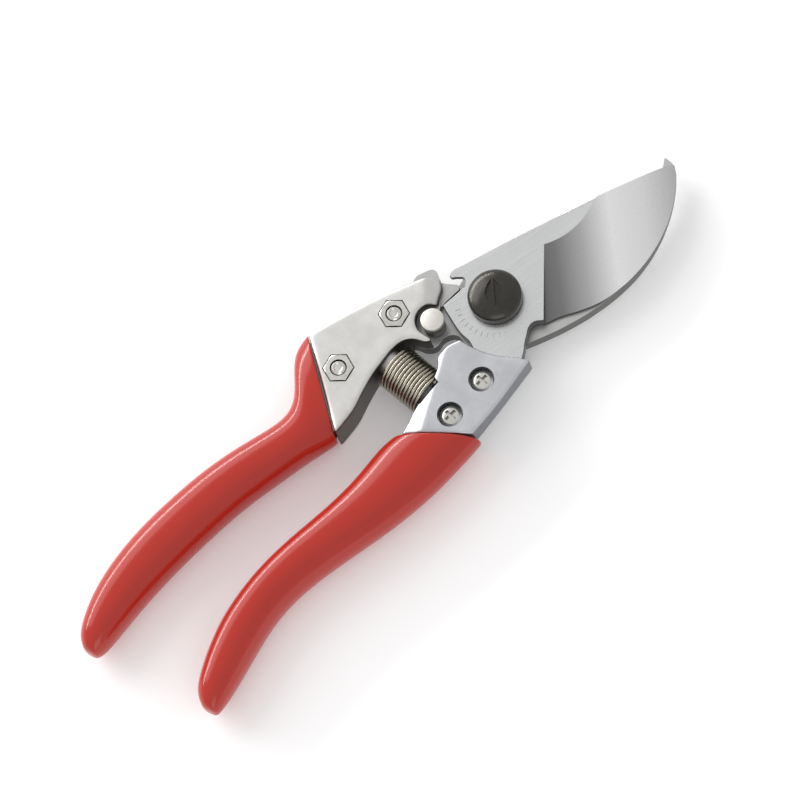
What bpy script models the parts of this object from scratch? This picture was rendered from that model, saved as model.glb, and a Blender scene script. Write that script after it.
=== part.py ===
"""Bypass pruning shears, closed and locked, lying on their back.

+Z is up, out of the front face. The pivot axis is the Z axis, the blades point along +X and the
grips along -X. The hook half stays still, and the blade half swings about the pivot.
Outlines are written in millimetres as (x, y) or (x, y, CORNER), and MM turns them into metres.
"""

import math

import bmesh
import bpy
from mathutils import Matrix, Vector

MM = 0.001
CORNER = True
CLEARANCE = 0.3

# Thicknesses, from the back of the hook to the front of the handles.
HOOK_BACK = 3.0
HOOK_THICKNESS = 4.0
BLADE_THICKNESS = 3.2
EDGE_THICKNESS = 0.7
FRONT_WALL = 2.4
HANDLE_THICKNESS = 12.0
GRIP_THICKNESS = 14.4
HANDLE_EDGE = 0.6

# Lengths: pivot to blade tip, and grip mouth to grip end.
BLADE_REACH = 59.4
HOOK_GRIP_LENGTH = 86.2
BLADE_GRIP_LENGTH = 86.0

# The blade's ground face: the step's ends, and the centre and radius of the edge's curve.
# The start and the centre are (share of BLADE_REACH, y).
GRIND_START = (0.33, 1.2)
GRIND_FOOT = (3.6, -14.4)
GRIND_CENTRE = (0.497, 17.7)
EDGE_CURVE = 39.8
GRIND_STEPS = 128

# Pivot.
PIVOT_RADIUS = 4.0
PIVOT_HEAD_RADIUS = 5.8
PIVOT_HEAD_HEIGHT = 2.6
PIVOT_HEAD_CHAMFER = 0.5
CAP_WALL = 1.2
CAP_RIM_HEIGHT = 2.3
CAP_DOME_HEIGHT = 2.8
WASHER_THICKNESS = 0.6
WASHER_RADIUS = 7.6
PIVOT_NUT_FLATS = 13.0
BOSS_RADIUS = 14.0
HOLLOW_GAP = 1.1

# Slopes on the handles: each starts along a line and falls, in degrees, to the line's left.
END_SLOPE = ((-8.8, 17.5), (-13.5, 12.8))
END_SLOPE_FALL = 30.0
BACK_SLOPE = ((-36.0, -23.8), (-2.0, -19.3))
BACK_SLOPE_TOP = 6.7
BACK_SLOPE_FALL = 65.0
FRONT_SLOPE = ((-41.9, -13.1), (-22.5, -2.5))
FRONT_SLOPE_FALL = 20.0

# M4 fasteners.
BOLT_RADIUS = 2.0
BOLT_HEAD_RADIUS = 3.6
BOLT_HEAD_HEIGHT = 1.4
BOLT_HEAD_RIM = 0.85
BOLT_HEAD_FLAT = 2.5
BOLT_PROUD = 0.5
END_CHAMFER = 0.3
NUT_FLATS = 7.0
NUT_HEIGHT = 2.6
NUT_TURN = 43.5
SCREW_HEAD_RADIUS = 3.2
SCREW_HEAD_HEIGHT = 1.7
SCREW_NUT_HEIGHT = 2.9
SCREW_HEAD_CHAMFER = 0.6
CROSS_SLOT = (3.6, 0.8, 2.2)
HOOK_BOLTS = ((-21.7, 16.4), (-42.5, 16.7))
BLADE_SCREWS = ((-19.1, -14.0), (-31.7, -14.7))

# Thumb catch.
CATCH_PIN = (-16.0, 7.7)
PIN_RADIUS = 1.6
PIN_HEAD_RADIUS = 3.2
PIN_HEAD_HEIGHT = 1.2
CATCH_THICKNESS = 2.6
NOSE_THICKNESS = 1.7
NOSE_RELIEF_RADII = (10.2, 16.5)
NOSE_RELIEF_ANGLES = (70, 112)
PIN_NOTCH_RADIUS = 4.6
CATCH_EYE_RADIUS = 3.0
CATCH_SPRING_RADIUS = 2.5
CATCH_SPRING_WIRE = 0.18
CATCH_SPRING_TURNS = 2.0

# Main spring between the handles.
SPRING_TOP = (-31.2, 8.4)
SPRING_BOTTOM = (-30.4, -5.9)
SPRING_RADIUS = 6.0
SPRING_WIRE = 0.46
SPRING_TURNS = 12.7
PEG_RADIUS = 4.2
PEG_LENGTH = 4.5
PEG_ROOT = 3.0
PEG_TAPER = 0.9

# Grips.
GRIP_WALL = 2.3
TANG_THICKNESS = 5.6
TANG_ROOT_INSET = 4.0
GRIP_SIDES = 20
GRIP_SQUARENESS = 0.8
GRIP_TAPERED_STATIONS = 4.0
GRIP_END_HEIGHT = 0.5
GRIP_END_SCALE = 0.6
GRIP_END_LENGTH = 0.8
MOUTH_GAP = 0.39
HOOK_MOUTH = ((-40.6, 31.2), (-56.8, 4.0))
BLADE_MOUTH = ((-46.4, -6.3), (-30.6, -24.6))
HOOK_ROOT_SHIFT = (5.0, -2.5)
BLADE_ROOT_SHIFT = (5.5, 0.5)

HOOK_FRONT = HOOK_BACK + HOOK_THICKNESS
BLADE_BACK = HOOK_FRONT + CLEARANCE
BLADE_FRONT = BLADE_BACK + BLADE_THICKNESS
HANDLE_FRONT = BLADE_FRONT + CLEARANCE + FRONT_WALL
HANDLE_BACK = HANDLE_FRONT - HANDLE_THICKNESS
HANDLE_MIDDLE = (HANDLE_FRONT + HANDLE_BACK) / 2
REST = HANDLE_MIDDLE - GRIP_THICKNESS / 2
CATCH_FRONT = BLADE_BACK + CATCH_THICKNESS
NOSE_FRONT = BLADE_BACK + NOSE_THICKNESS
CAP_RADIUS = PIVOT_HEAD_RADIUS + CLEARANCE + CAP_WALL
HOLLOW_RADIUS = BOSS_RADIUS + HOLLOW_GAP
BEYOND = 5.0  # how far a cutter runs past the surface it cuts


# ---------------------------------------------------------------- outlines


def polar(radius, degrees, centre=(0.0, 0.0)):
    """A point at this radius and angle about the centre."""
    angle = math.radians(degrees)
    return (centre[0] + radius * math.cos(angle), centre[1] + radius * math.sin(angle))


def arc(radius, start, end, count, centre=(0.0, 0.0)):
    """Evenly spaced points along an arc, both ends included."""
    return [polar(radius, start + (end - start) * i / (count - 1), centre) for i in range(count)]


def corner(point):
    return (point[0], point[1], CORNER)


def reach(points):
    """Points given as (share of BLADE_REACH, y), which may be corners."""
    return [(point[0] * BLADE_REACH,) + tuple(point[1:]) for point in points]


def grown(outline, by):
    """The outline moved outwards by a distance, which is a clearance or a wall."""
    flat = [Vector(point[:2]) for point in outline]
    count = len(flat)
    area = sum(flat[i - 1].cross(flat[i]) for i in range(count))
    outwards = 1.0 if area > 0 else -1.0
    moved = []
    for i, point in enumerate(flat):
        before = (point - flat[i - 1]).normalized()
        after = (flat[(i + 1) % count] - point).normalized()
        normal = Vector((before.y + after.y, -before.x - after.x)).normalized() * outwards
        spread = max(0.5, abs(normal.dot(Vector((before.y, -before.x)))))
        place = point + normal * (by / spread)
        moved.append((place.x, place.y) + tuple(outline[i][2:]))
    return moved


def hook_outline():
    """Counter blade: tip, outer rim, boss, neck, tang in the handle, and the hollow inner edge."""
    rim = reach([
        (1.0, -4.3, CORNER),
        (1.0, -7.6),
        (0.964, -10.2),
        (0.888, -13.9),
        (0.79, -17.3),
        (0.68, -19.9),
        (0.565, -21.4),
        (0.455, -21.8),
        (0.286, -20.7),
    ])
    boss = arc(BOSS_RADIUS, 254, 190, 5)
    neck = [(-13.9, 1.8), (-16.6, 3.7), (-19.9, 3.5), (-22.0, 5.1), (-23.2, 7.7), (-25.6, 11.0)]
    tang_end = arc(4.6, 270, 90, 5, HOOK_BOLTS[1])
    back = [(-21.7, 20.8), (-14.5, 18.4), (-10.0, 14.2)]
    shoulder = arc(BOSS_RADIUS - 1.8, 112, 0, 5)
    inner = [(14.2, -6.0)] + reach([
        (0.29, -10.6),
        (0.37, -13.1),
        (0.5, -14.1),
        (0.65, -13.2),
        (0.81, -10.4),
        (0.93, -7.0),
    ])
    return rim + [(8.2, -18.4), (1.6, -15.9)] + boss + neck + tang_end + back + shoulder + inner


def blade_outline():
    """Cutting blade: spine, tip, bellied edge, ricasso, tang under the handle, heel and notch."""
    spine = [(-3.2, 14.1), (0.9, 13.2)] + reach([(0.965, -6.8), (1.0, -8.2, CORNER)])
    edge = reach([
        (0.975, -10.2),
        (0.92, -13.2),
        (0.845, -16.4),
        (0.745, -19.3),
        (0.64, -21.2),
        (0.52, -22.1),
        (0.405, -21.8),
        (0.31, -20.6),
        (0.222, -18.3),
    ])
    ricasso = [(8.5, -15.6), (4.3, -13.9, CORNER), (1.6, -12.1), (-2.2, -13.7), (-6.7, -16.8)]
    tang = [(-11.0, -18.5), (-20.0, -18.9)]
    tang_end = arc(4.2, 270, 90, 5, BLADE_SCREWS[1])
    heel = [(-22.0, -9.4), (-16.0, -7.6), (-13.6, -4.2), (-13.2, 0.5), (-11.6, 7.0)]
    notch = [(-10.9, 9.2, CORNER), (-3.2, 8.6, CORNER), (-1.7, 10.3), (-2.7, 11.9), (-3.9, 13.3)]
    return spine + edge + ricasso + tang + tang_end + heel + notch


def hook_grip_stations():
    """Pairs of points across the hook-side grip, outer side first, from the mouth to the end."""
    return stations(HOOK_MOUTH, HOOK_GRIP_LENGTH, [
        (-0.119, 30.4, 0.021, 4.3),
        (-0.067, 26.2, 0.043, 4.8),
        (-0.015, 20.9, 0.070, 5.5),
        (0.043, 18.8, 0.101, 6.3),
        (0.114, 19.8, 0.151, 7.1),
        (0.217, 22.5, 0.234, 8.3),
        (0.339, 24.7, 0.339, 9.9),
        (0.472, 25.7, 0.466, 10.6),
        (0.617, 26.1, 0.611, 10.9),
        (0.756, 24.8, 0.745, 10.6),
        (0.867, 22.2, 0.843, 9.8),
        (0.942, 19.0, 0.919, 9.1),
        (0.980, 16.8, 0.956, 8.8),
        (0.998, 14.2, 0.984, 9.1),
    ])


def blade_grip_stations():
    """Pairs of points across the blade-side grip, inner side first, from the mouth to the end."""
    return stations(BLADE_MOUTH, BLADE_GRIP_LENGTH, [
        (0.052, -5.8, -0.083, -25.1),
        (0.132, -6.7, 0.027, -25.2),
        (0.217, -7.2, 0.147, -24.4),
        (0.327, -6.8, 0.287, -22.3),
        (0.437, -5.8, 0.427, -19.7),
        (0.562, -5.4, 0.557, -18.3),
        (0.672, -6.4, 0.657, -18.9),
        (0.774, -8.2, 0.742, -20.6),
        (0.874, -11.7, 0.827, -22.7),
        (0.947, -15.1, 0.902, -24.4),
        (0.987, -17.6, 0.952, -25.3),
        (1.005, -20.8, 0.986, -25.8),
    ])


def stations(mouth, length, rows):
    """The mouth's pair, then pairs from rows of (share of length, y) for each side.

    Shares are counted from the mouth's end that lies further back.
    """
    start = min(mouth[0][0], mouth[1][0])
    pairs = [mouth]
    for first, first_y, second, second_y in rows:
        pairs.append(((start - first * length, first_y), (start - second * length, second_y)))
    return pairs


def shortened(pair, wall):
    """The pair drawn in by a wall at both ends."""
    first, second = Vector(pair[0]), Vector(pair[1])
    step = (second - first).normalized() * wall
    return (tuple(first + step), tuple(second - step))


def tang_outline(pairs, wall, root_shift):
    """The handle's core inside a grip: the grip's outline drawn in by its wall.

    It runs on past the mouth by root_shift, into the handle's body.
    """
    kept = [shortened(pair, wall) for pair in pairs[:-2]]
    inner = shortened(pairs[0], wall + TANG_ROOT_INSET)
    root = [tuple(Vector(point) + Vector(root_shift)) for point in inner]
    first = [corner(kept[0][0])] + [pair[0] for pair in kept[1:]]
    second = [corner(kept[0][1])] + [pair[1] for pair in kept[1:]]
    return [corner(root[0])] + first + list(reversed(second)) + [corner(root[1])]


def mouth_corner(mouth, share):
    """A handle corner beside the grip's mouth, a clearance away from its plane."""
    first, second = Vector(mouth[0]), Vector(mouth[1])
    along = (second - first).normalized()
    away = Vector((abs(along.y), -along.x if along.y > 0 else along.x))
    return corner(first.lerp(second, share) + away * MOUTH_GAP)


def hook_handle_outline():
    """Flat body of the hook handle in front view, with the bay around the catch pin."""
    top = [(-32.0, 26.8), (-20.7, 22.9), (-12.5, 19.4), (-8.8, 17.6), (-6.4, 15.4)]
    end = arc(HOLLOW_RADIUS, 117, 134, 2)
    bay = arc(PIN_NOTCH_RADIUS, 28, 205, 6, CATCH_PIN)
    belly = [
        (-20.0, 3.5, CORNER),
        (-21.8, 4.8),
        (-23.0, 7.2),
        (-24.9, 9.1),
        (-28.8, 9.8),
        (-32.5, 9.4),
        (-37.5, 8.7),
        (-43.1, 7.1),
        (-48.0, 5.5),
    ]
    body = top + end + [corner(bay[0])] + bay[1:-1] + [corner(bay[-1])] + belly
    return [mouth_corner(HOOK_MOUTH, 0.055)] + body + [mouth_corner(HOOK_MOUTH, 0.975)]


def blade_handle_outline():
    """Flat body of the blade handle in front view, hollowed round the hook's boss."""
    inner = [
        (-43.0, -8.0),
        (-37.9, -6.5),
        (-32.0, -5.0),
        (-25.8, -3.4),
        (-23.9, -2.2),
        (-22.7, -0.7),
        (-20.5, -0.4),
        (-17.8, -0.7),
    ]
    hollow = [
        corner(polar(HOLLOW_RADIUS, 187)),
        polar(HOLLOW_RADIUS + 0.2, 200),
        polar(HOLLOW_RADIUS + 1.2, 220),
        polar(HOLLOW_RADIUS + 2.3, 233),
        polar(HOLLOW_RADIUS + 3.8, 245),
    ]
    outer = [(-6.6, -19.9, CORNER), (-10.5, -20.5), (-16.5, -21.5), (-23.0, -22.4)]
    ends = (mouth_corner(BLADE_MOUTH, 0.11), mouth_corner(BLADE_MOUTH, 0.93))
    return [ends[0]] + inner + hollow + outer + [ends[1]]


def catch_arm_outline():
    """Arm and thumb tab of the catch, outside the circle that the blade's heel sweeps."""
    tab = [(-12.2, 19.2), (-10.4, 20.4), (-7.6, 19.8), (-5.2, 18.2), (-5.7, 16.0), (-6.6, 14.6)]
    inside = arc(HOLLOW_RADIUS - 0.15, 119, 138, 3)
    return [(-17.6, 10.0), (-14.6, 15.0)] + tab + inside + [(-13.6, 8.4), (-16.0, 6.6)]


def catch_nose_outline():
    """Hooked nose that lies in the blade's notch."""
    tip = [(-5.5, 13.1), (-4.6, 11.9), (-3.8, 10.7), (-4.1, 9.95), (-6.2, 9.8)]
    return [(-7.2, 15.2)] + tip + [(-9.5, 9.9), (-11.6, 10.1), (-10.4, 13.0)]


# ---------------------------------------------------------------- modelling helpers


def clear_scene():
    for thing in list(bpy.data.objects):
        bpy.data.objects.remove(thing, do_unlink=True)


def collection(name, hidden=False):
    made = bpy.data.collections.new(name)
    made.hide_render = hidden
    bpy.context.scene.collection.children.link(made)
    return made


def finish(name, color, roughness, metallic):
    """A Principled material of one colour."""
    made = bpy.data.materials.new(name)
    made.use_nodes = True
    shader = made.node_tree.nodes["Principled BSDF"]
    shader.inputs["Base Color"].default_value = (*color, 1.0)
    shader.inputs["Roughness"].default_value = roughness
    shader.inputs["Metallic"].default_value = metallic
    return made


def mesh_object(name, mesh):
    made = bpy.data.objects.new(name, mesh)
    PARTS.objects.link(made)
    return made


def from_bmesh(name, shape):
    mesh = bpy.data.meshes.new(name)
    bmesh.ops.recalc_face_normals(shape, faces=shape.faces)
    shape.to_mesh(mesh)
    shape.free()
    return mesh_object(name, mesh)


def solid_of(curve_object):
    """Replaces a curve object with a welded mesh object of the same name."""
    graph = bpy.context.evaluated_depsgraph_get()
    mesh = bpy.data.meshes.new_from_object(curve_object.evaluated_get(graph))
    mesh.transform(curve_object.matrix_world)
    name = curve_object.name
    bpy.data.objects.remove(curve_object, do_unlink=True)
    shape = bmesh.new()
    shape.from_mesh(mesh)
    bpy.data.meshes.remove(mesh)
    bmesh.ops.remove_doubles(shape, verts=shape.verts, dist=1e-6)
    flat = math.radians(0.5)
    bmesh.ops.dissolve_limit(shape, angle_limit=flat, verts=shape.verts, edges=shape.edges)
    return from_bmesh(name, shape)


def plate(name, outline, back, front, resolution=3):
    """A flat piece: a smooth outline, filled and extruded between two heights."""
    curve = bpy.data.curves.new(name, "CURVE")
    curve.dimensions = "2D"
    curve.fill_mode = "BOTH"
    curve.resolution_u = resolution
    curve.extrude = (front - back) / 2 * MM
    spline = curve.splines.new("BEZIER")
    spline.bezier_points.add(len(outline) - 1)
    spline.use_cyclic_u = True
    for knot, point in zip(spline.bezier_points, outline):
        knot.co = (point[0] * MM, point[1] * MM, 0.0)
        kind = "VECTOR" if len(point) > 2 else "AUTO"
        knot.handle_left_type = kind
        knot.handle_right_type = kind
    made = mesh_object(name, curve)
    made.location.z = (front + back) / 2 * MM
    bpy.context.view_layer.update()
    return solid_of(made)


def prism(name, radius, sides, back, front, place=(0.0, 0.0), turn=0.0):
    """A round or hexagonal bar along Z."""
    shape = bmesh.new()
    height = (front - back) * MM
    move = Matrix.Translation((place[0] * MM, place[1] * MM, (front + back) / 2 * MM))
    move = move @ Matrix.Rotation(math.radians(turn), 4, "Z")
    bmesh.ops.create_cone(
        shape,
        cap_ends=True,
        segments=sides,
        radius1=radius * MM,
        radius2=radius * MM,
        depth=height,
        matrix=move,
    )
    return smooth(from_bmesh(name, shape))


def hexagon(name, flats, back, front, place, turn=NUT_TURN):
    return prism(name, flats / math.sqrt(3), 6, back, front, place, turn)


def block(name, size, place, turn=0.0):
    """A box with its centre at place, turned about Z."""
    shape = bmesh.new()
    move = Matrix.Translation(Vector(place) * MM) @ Matrix.Rotation(math.radians(turn), 4, "Z")
    bmesh.ops.create_cube(shape, size=1.0, matrix=move @ Matrix.Diagonal((*(Vector(size) * MM), 1)))
    return from_bmesh(name, shape)


def turned(name, profile, place=(0.0, 0.0), steps=32):
    """A turned piece: its profile of (radius, height) runs down its outer side."""
    mesh = bpy.data.meshes.new(name)
    points = [(radius * MM, 0.0, height * MM) for radius, height in profile]
    closed = profile[0][0] > 0 and profile[-1][0] > 0
    edges = [(i, i + 1) for i in range(len(points) - 1)]
    if closed:
        edges.append((len(points) - 1, 0))
    mesh.from_pydata(points, edges, [])
    made = mesh_object(name, mesh)
    made.location = (place[0] * MM, place[1] * MM, 0.0)
    screw = made.modifiers.new("turn", "SCREW")
    screw.steps = steps
    screw.render_steps = steps
    screw.use_merge_vertices = True
    screw.merge_threshold = 1e-5
    return made


def rounded(piece, width, segments=2):
    bevel = piece.modifiers.new("rounded edges", "BEVEL")
    bevel.width = width * MM
    bevel.segments = segments
    bevel.limit_method = "ANGLE"
    bevel.angle_limit = math.radians(60)
    return piece


def smooth(piece):
    piece.data.shade_smooth()
    piece.data.set_sharp_from_angle(angle=math.radians(35))
    return piece


def combine(piece, tool, operation):
    modifier = piece.modifiers.new(tool.name, "BOOLEAN")
    modifier.operation = operation
    modifier.object = tool
    tool.hide_render = True
    tool.display_type = "WIRE"
    PARTS.objects.unlink(tool)
    CUTTERS.objects.link(tool)
    return piece


def cut(piece, tool):
    return combine(piece, tool, "DIFFERENCE")


def joined(piece, tool):
    return combine(piece, tool, "UNION")


def common(piece, tool):
    return combine(piece, tool, "INTERSECT")


def bore(piece, radius, place, sides=20):
    """A hole right through the piece along Z."""
    tool = prism(f"{piece.name} bore", radius, sides, REST - BEYOND, HANDLE_FRONT + BEYOND, place)
    return cut(piece, tool)


def coil(name, start, end, radius, wire, turns, steps=12, sides=2):
    """A helix of wire between two points, as a closed tube."""
    start, end = Vector(start), Vector(end)
    axis = (end - start).normalized()
    side = axis.cross(Vector((0.0, 0.0, 1.0) if abs(axis.z) < 0.9 else (1.0, 0.0, 0.0))).normalized()
    up = axis.cross(side)
    first, last = start + axis * wire, end - axis * wire
    curve = bpy.data.curves.new(name, "CURVE")
    curve.dimensions = "3D"
    curve.bevel_depth = wire * MM
    curve.bevel_resolution = sides
    curve.use_fill_caps = True
    spline = curve.splines.new("POLY")
    count = int(turns * steps)
    spline.points.add(count)
    for i, knot in enumerate(spline.points):
        angle = math.tau * turns * i / count
        out = side * math.cos(angle) + up * math.sin(angle)
        knot.co = (*((first.lerp(last, i / count) + out * radius) * MM), 1.0)
    return smooth(solid_of(mesh_object(name, curve)))


def sleeve(name, pairs):
    """A soft handle sleeve: rounded sections across the pairs, closed at the far end."""
    shape = bmesh.new()
    rings = []
    tail = len(pairs) - 1
    half_height = GRIP_THICKNESS / 2
    for index, (first, second) in enumerate(pairs):
        first, second = Vector(first), Vector(second)
        taper = max(0.0, 1.0 - (tail - index) / GRIP_TAPERED_STATIONS)
        height = half_height * (1.0 - (1.0 - GRIP_END_HEIGHT) * taper * taper)
        rings.append(section(shape, first, second, height, 1.0))
    lead = (Vector(pairs[-1][0]) + Vector(pairs[-1][1])) / 2
    before = (Vector(pairs[-2][0]) + Vector(pairs[-2][1])) / 2
    push = (lead - before).normalized() * GRIP_END_LENGTH
    last = [Vector(point) + push for point in pairs[-1]]
    rings.append(section(shape, *last, half_height * GRIP_END_HEIGHT, GRIP_END_SCALE))
    for one, two in zip(rings, rings[1:]):
        for i in range(GRIP_SIDES):
            j = (i + 1) % GRIP_SIDES
            shape.faces.new((one[i], one[j], two[j], two[i]))
    shape.faces.new(rings[0])
    shape.faces.new(list(reversed(rings[-1])))
    return smooth(from_bmesh(name, shape))


def section(shape, first, second, half_height, scale):
    """A ring of vertices: a rounded oval that stands on the line between two points."""
    middle = (first + second) / 2
    across = (second - first) / 2 * scale
    ring = []
    for i in range(GRIP_SIDES):
        angle = math.tau * (i + 0.5) / GRIP_SIDES
        wide = math.copysign(abs(math.cos(angle)) ** GRIP_SQUARENESS, math.cos(angle))
        high = math.copysign(abs(math.sin(angle)) ** GRIP_SQUARENESS, math.sin(angle))
        place = middle + across * wide
        z = HANDLE_MIDDLE + half_height * scale * high
        ring.append(shape.verts.new((place.x * MM, place.y * MM, z * MM)))
    return ring


def about(piece, place):
    """Moves the piece's origin to a point without moving its shape."""
    piece.data.transform(Matrix.Translation((-place[0] * MM, -place[1] * MM, 0.0)))
    piece.location = (place[0] * MM, place[1] * MM, 0.0)
    return piece


def dressed(pieces, material):
    for piece in pieces:
        piece.data.materials.append(material)
    return pieces


# ---------------------------------------------------------------- hook half


def make_hook():
    hook = plate("hook", hook_outline(), HOOK_BACK, HOOK_FRONT)
    bore(hook, PIVOT_RADIUS + CLEARANCE, (0.0, 0.0), 28)
    bore(hook, PIN_RADIUS + CLEARANCE, CATCH_PIN)
    for place in HOOK_BOLTS:
        bore(hook, BOLT_RADIUS + CLEARANCE, place)
    return smooth(hook)


def make_hook_handle():
    """Cast handle: body, core inside the grip, spring peg, seat for the hook and bay for the catch."""
    handle = plate("hook_handle", hook_handle_outline(), HANDLE_BACK, HANDLE_FRONT)
    rounded(handle, HANDLE_EDGE)
    cut(handle, slope("end slope", END_SLOPE, HANDLE_FRONT, END_SLOPE_FALL, BEYOND))
    core = tang_outline(hook_grip_stations(), GRIP_WALL, HOOK_ROOT_SHIFT)
    joined(handle, core_plate("hook core", core, TANG_THICKNESS))
    joined(handle, peg("hook peg", SPRING_TOP, SPRING_BOTTOM))
    seat = grown(hook_outline(), CLEARANCE)
    cut(handle, plate("hook seat", seat, REST - BEYOND, BLADE_BACK))
    lever_bay = [
        (-19.4, 2.0, CORNER),
        (-19.6, 12.0, CORNER),
        (-17.6, 24.0, CORNER),
        (0.0, 24.0, CORNER),
        (0.0, 2.0, CORNER),
    ]
    cut(handle, plate("lever bay", lever_bay, REST - BEYOND, CATCH_FRONT + CLEARANCE))
    for number, place in enumerate(HOOK_BOLTS, 1):
        bore(handle, BOLT_RADIUS + CLEARANCE, place)
        floor = HANDLE_FRONT - NUT_HEIGHT
        wide = NUT_FLATS + 2 * CLEARANCE
        cut(handle, hexagon(f"nut pocket {number}", wide, floor, HANDLE_FRONT + BEYOND, place))
    return smooth(handle)


def core_plate(name, outline, thickness):
    half = thickness / 2
    return plate(name, outline, HANDLE_MIDDLE - half, HANDLE_MIDDLE + half, 2)


def peg(name, seat, towards):
    """The cast stub that holds one end of the spring, on the spring's axis."""
    seat = Vector((*seat, HANDLE_MIDDLE))
    axis = (Vector((*towards, HANDLE_MIDDLE)) - seat).normalized()
    root = seat - axis * PEG_ROOT
    middle = (root + seat + axis * PEG_LENGTH) / 2
    shape = bmesh.new()
    bmesh.ops.create_cone(
        shape,
        cap_ends=True,
        segments=20,
        radius1=PEG_RADIUS * MM,
        radius2=PEG_RADIUS * PEG_TAPER * MM,
        depth=(PEG_LENGTH + PEG_ROOT) * MM,
        matrix=Matrix.Translation(middle * MM) @ axis.to_track_quat("Z", "Y").to_matrix().to_4x4(),
    )
    return smooth(from_bmesh(name, shape))


def make_grip(name, pairs, root_shift):
    """Moulded sleeve with a blind bore for the handle's core."""
    grip = sleeve(name, pairs)
    outline = tang_outline(pairs, GRIP_WALL - CLEARANCE, root_shift)
    thickness = TANG_THICKNESS + 2 * CLEARANCE
    return cut(grip, core_plate(f"{name} bore", outline, thickness))


def make_hook_fasteners():
    """Two bolts with their heads against the hook's back, and two nuts sunk in the handle's front."""
    pieces = []
    for number, place in enumerate(HOOK_BOLTS, 1):
        head = HOOK_BACK - CLEARANCE
        end = HANDLE_FRONT + BOLT_PROUD
        profile = [
            (0.0, end),
            (BOLT_RADIUS - END_CHAMFER, end),
            (BOLT_RADIUS, end - END_CHAMFER),
            (BOLT_RADIUS, head),
            (BOLT_HEAD_RADIUS, head),
            (BOLT_HEAD_RADIUS, head - BOLT_HEAD_RIM),
            (BOLT_HEAD_FLAT, head - BOLT_HEAD_HEIGHT),
            (0.0, head - BOLT_HEAD_HEIGHT),
        ]
        pieces.append(turned(f"hook_bolt_{number}", profile, place, 20))
        base = HANDLE_FRONT - NUT_HEIGHT + CLEARANCE
        nut = hexagon(f"hook_nut_{number}", NUT_FLATS, base, base + NUT_HEIGHT, place)
        pieces.append(bore(nut, BOLT_RADIUS + CLEARANCE, place))
    return pieces


def make_pivot():
    """Shouldered bolt through both blades, domed cap over its head, washer and nut at the back."""
    head = BLADE_FRONT + CLEARANCE
    bolt = turned("pivot_bolt", [
        (0.0, head + PIVOT_HEAD_HEIGHT),
        (PIVOT_HEAD_RADIUS - PIVOT_HEAD_CHAMFER, head + PIVOT_HEAD_HEIGHT),
        (PIVOT_HEAD_RADIUS, head + PIVOT_HEAD_HEIGHT - PIVOT_HEAD_CHAMFER),
        (PIVOT_HEAD_RADIUS, head),
        (PIVOT_RADIUS, head),
        (PIVOT_RADIUS, REST),
        (0.0, REST),
    ])
    top = head + CAP_RIM_HEIGHT + CAP_DOME_HEIGHT
    dome = dome_profile(CAP_RADIUS, head + CAP_RIM_HEIGHT, CAP_DOME_HEIGHT)
    inside = PIVOT_HEAD_RADIUS + CLEARANCE
    ceiling = head + PIVOT_HEAD_HEIGHT + CLEARANCE
    cap = turned("pivot_cap", [(0.0, top)] + dome + [
        (CAP_RADIUS, head),
        (inside, head),
        (inside, ceiling - PIVOT_HEAD_CHAMFER + CLEARANCE),
        (inside - PIVOT_HEAD_CHAMFER + CLEARANCE / 2, ceiling),
        (0.0, ceiling),
    ])
    washer_front = HOOK_BACK - CLEARANCE
    washer_back = washer_front - WASHER_THICKNESS
    hole = PIVOT_RADIUS + CLEARANCE
    washer = turned("pivot_washer", [
        (WASHER_RADIUS, washer_front),
        (WASHER_RADIUS, washer_back),
        (hole, washer_back),
        (hole, washer_front),
    ])
    nut = hexagon("pivot_nut", PIVOT_NUT_FLATS, REST, washer_back - CLEARANCE, (0.0, 0.0))
    bore(nut, hole, (0.0, 0.0), 28)
    return bolt, cap, washer, nut


def dome_profile(radius, base, height, count=6):
    """Points down a shallow dome, from near its crown to its edge."""
    points = []
    for i in range(1, count + 1):
        angle = math.pi / 2 * i / count
        points.append((radius * math.sin(angle), base + height * math.cos(angle)))
    return points


def make_spring():
    start = (*SPRING_TOP, HANDLE_MIDDLE)
    end = (*SPRING_BOTTOM, HANDLE_MIDDLE)
    return coil("main_spring", start, end, SPRING_RADIUS, SPRING_WIRE, SPRING_TURNS)


# ---------------------------------------------------------------- catch


def make_catch():
    """Flat thumb lever on its pin, with a thinner nose that reaches into the blade's notch."""
    lever = plate("catch_lever", catch_arm_outline(), BLADE_BACK, CATCH_FRONT)
    joined(lever, prism("catch eye", CATCH_EYE_RADIUS, 24, BLADE_BACK, CATCH_FRONT, CATCH_PIN))
    joined(lever, plate("catch nose", catch_nose_outline(), BLADE_BACK, NOSE_FRONT))
    bore(lever, PIN_RADIUS + CLEARANCE, CATCH_PIN)
    return about(smooth(lever), CATCH_PIN)


def make_catch_pin():
    top = HANDLE_FRONT
    under = top - PIN_HEAD_HEIGHT
    return turned("catch_pin", [
        (0.0, top),
        (PIN_HEAD_RADIUS - END_CHAMFER, top),
        (PIN_HEAD_RADIUS, top - END_CHAMFER),
        (PIN_HEAD_RADIUS, under),
        (PIN_RADIUS, under),
        (PIN_RADIUS, HOOK_BACK),
        (0.0, HOOK_BACK),
    ], CATCH_PIN, 28)


def make_catch_spring():
    low = CATCH_FRONT + CLEARANCE
    high = HANDLE_FRONT - PIN_HEAD_HEIGHT - CLEARANCE
    start, end = (*CATCH_PIN, low), (*CATCH_PIN, high)
    return coil(
        "catch_spring", start, end, CATCH_SPRING_RADIUS, CATCH_SPRING_WIRE, CATCH_SPRING_TURNS, 16
    )


# ---------------------------------------------------------------- blade half


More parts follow.
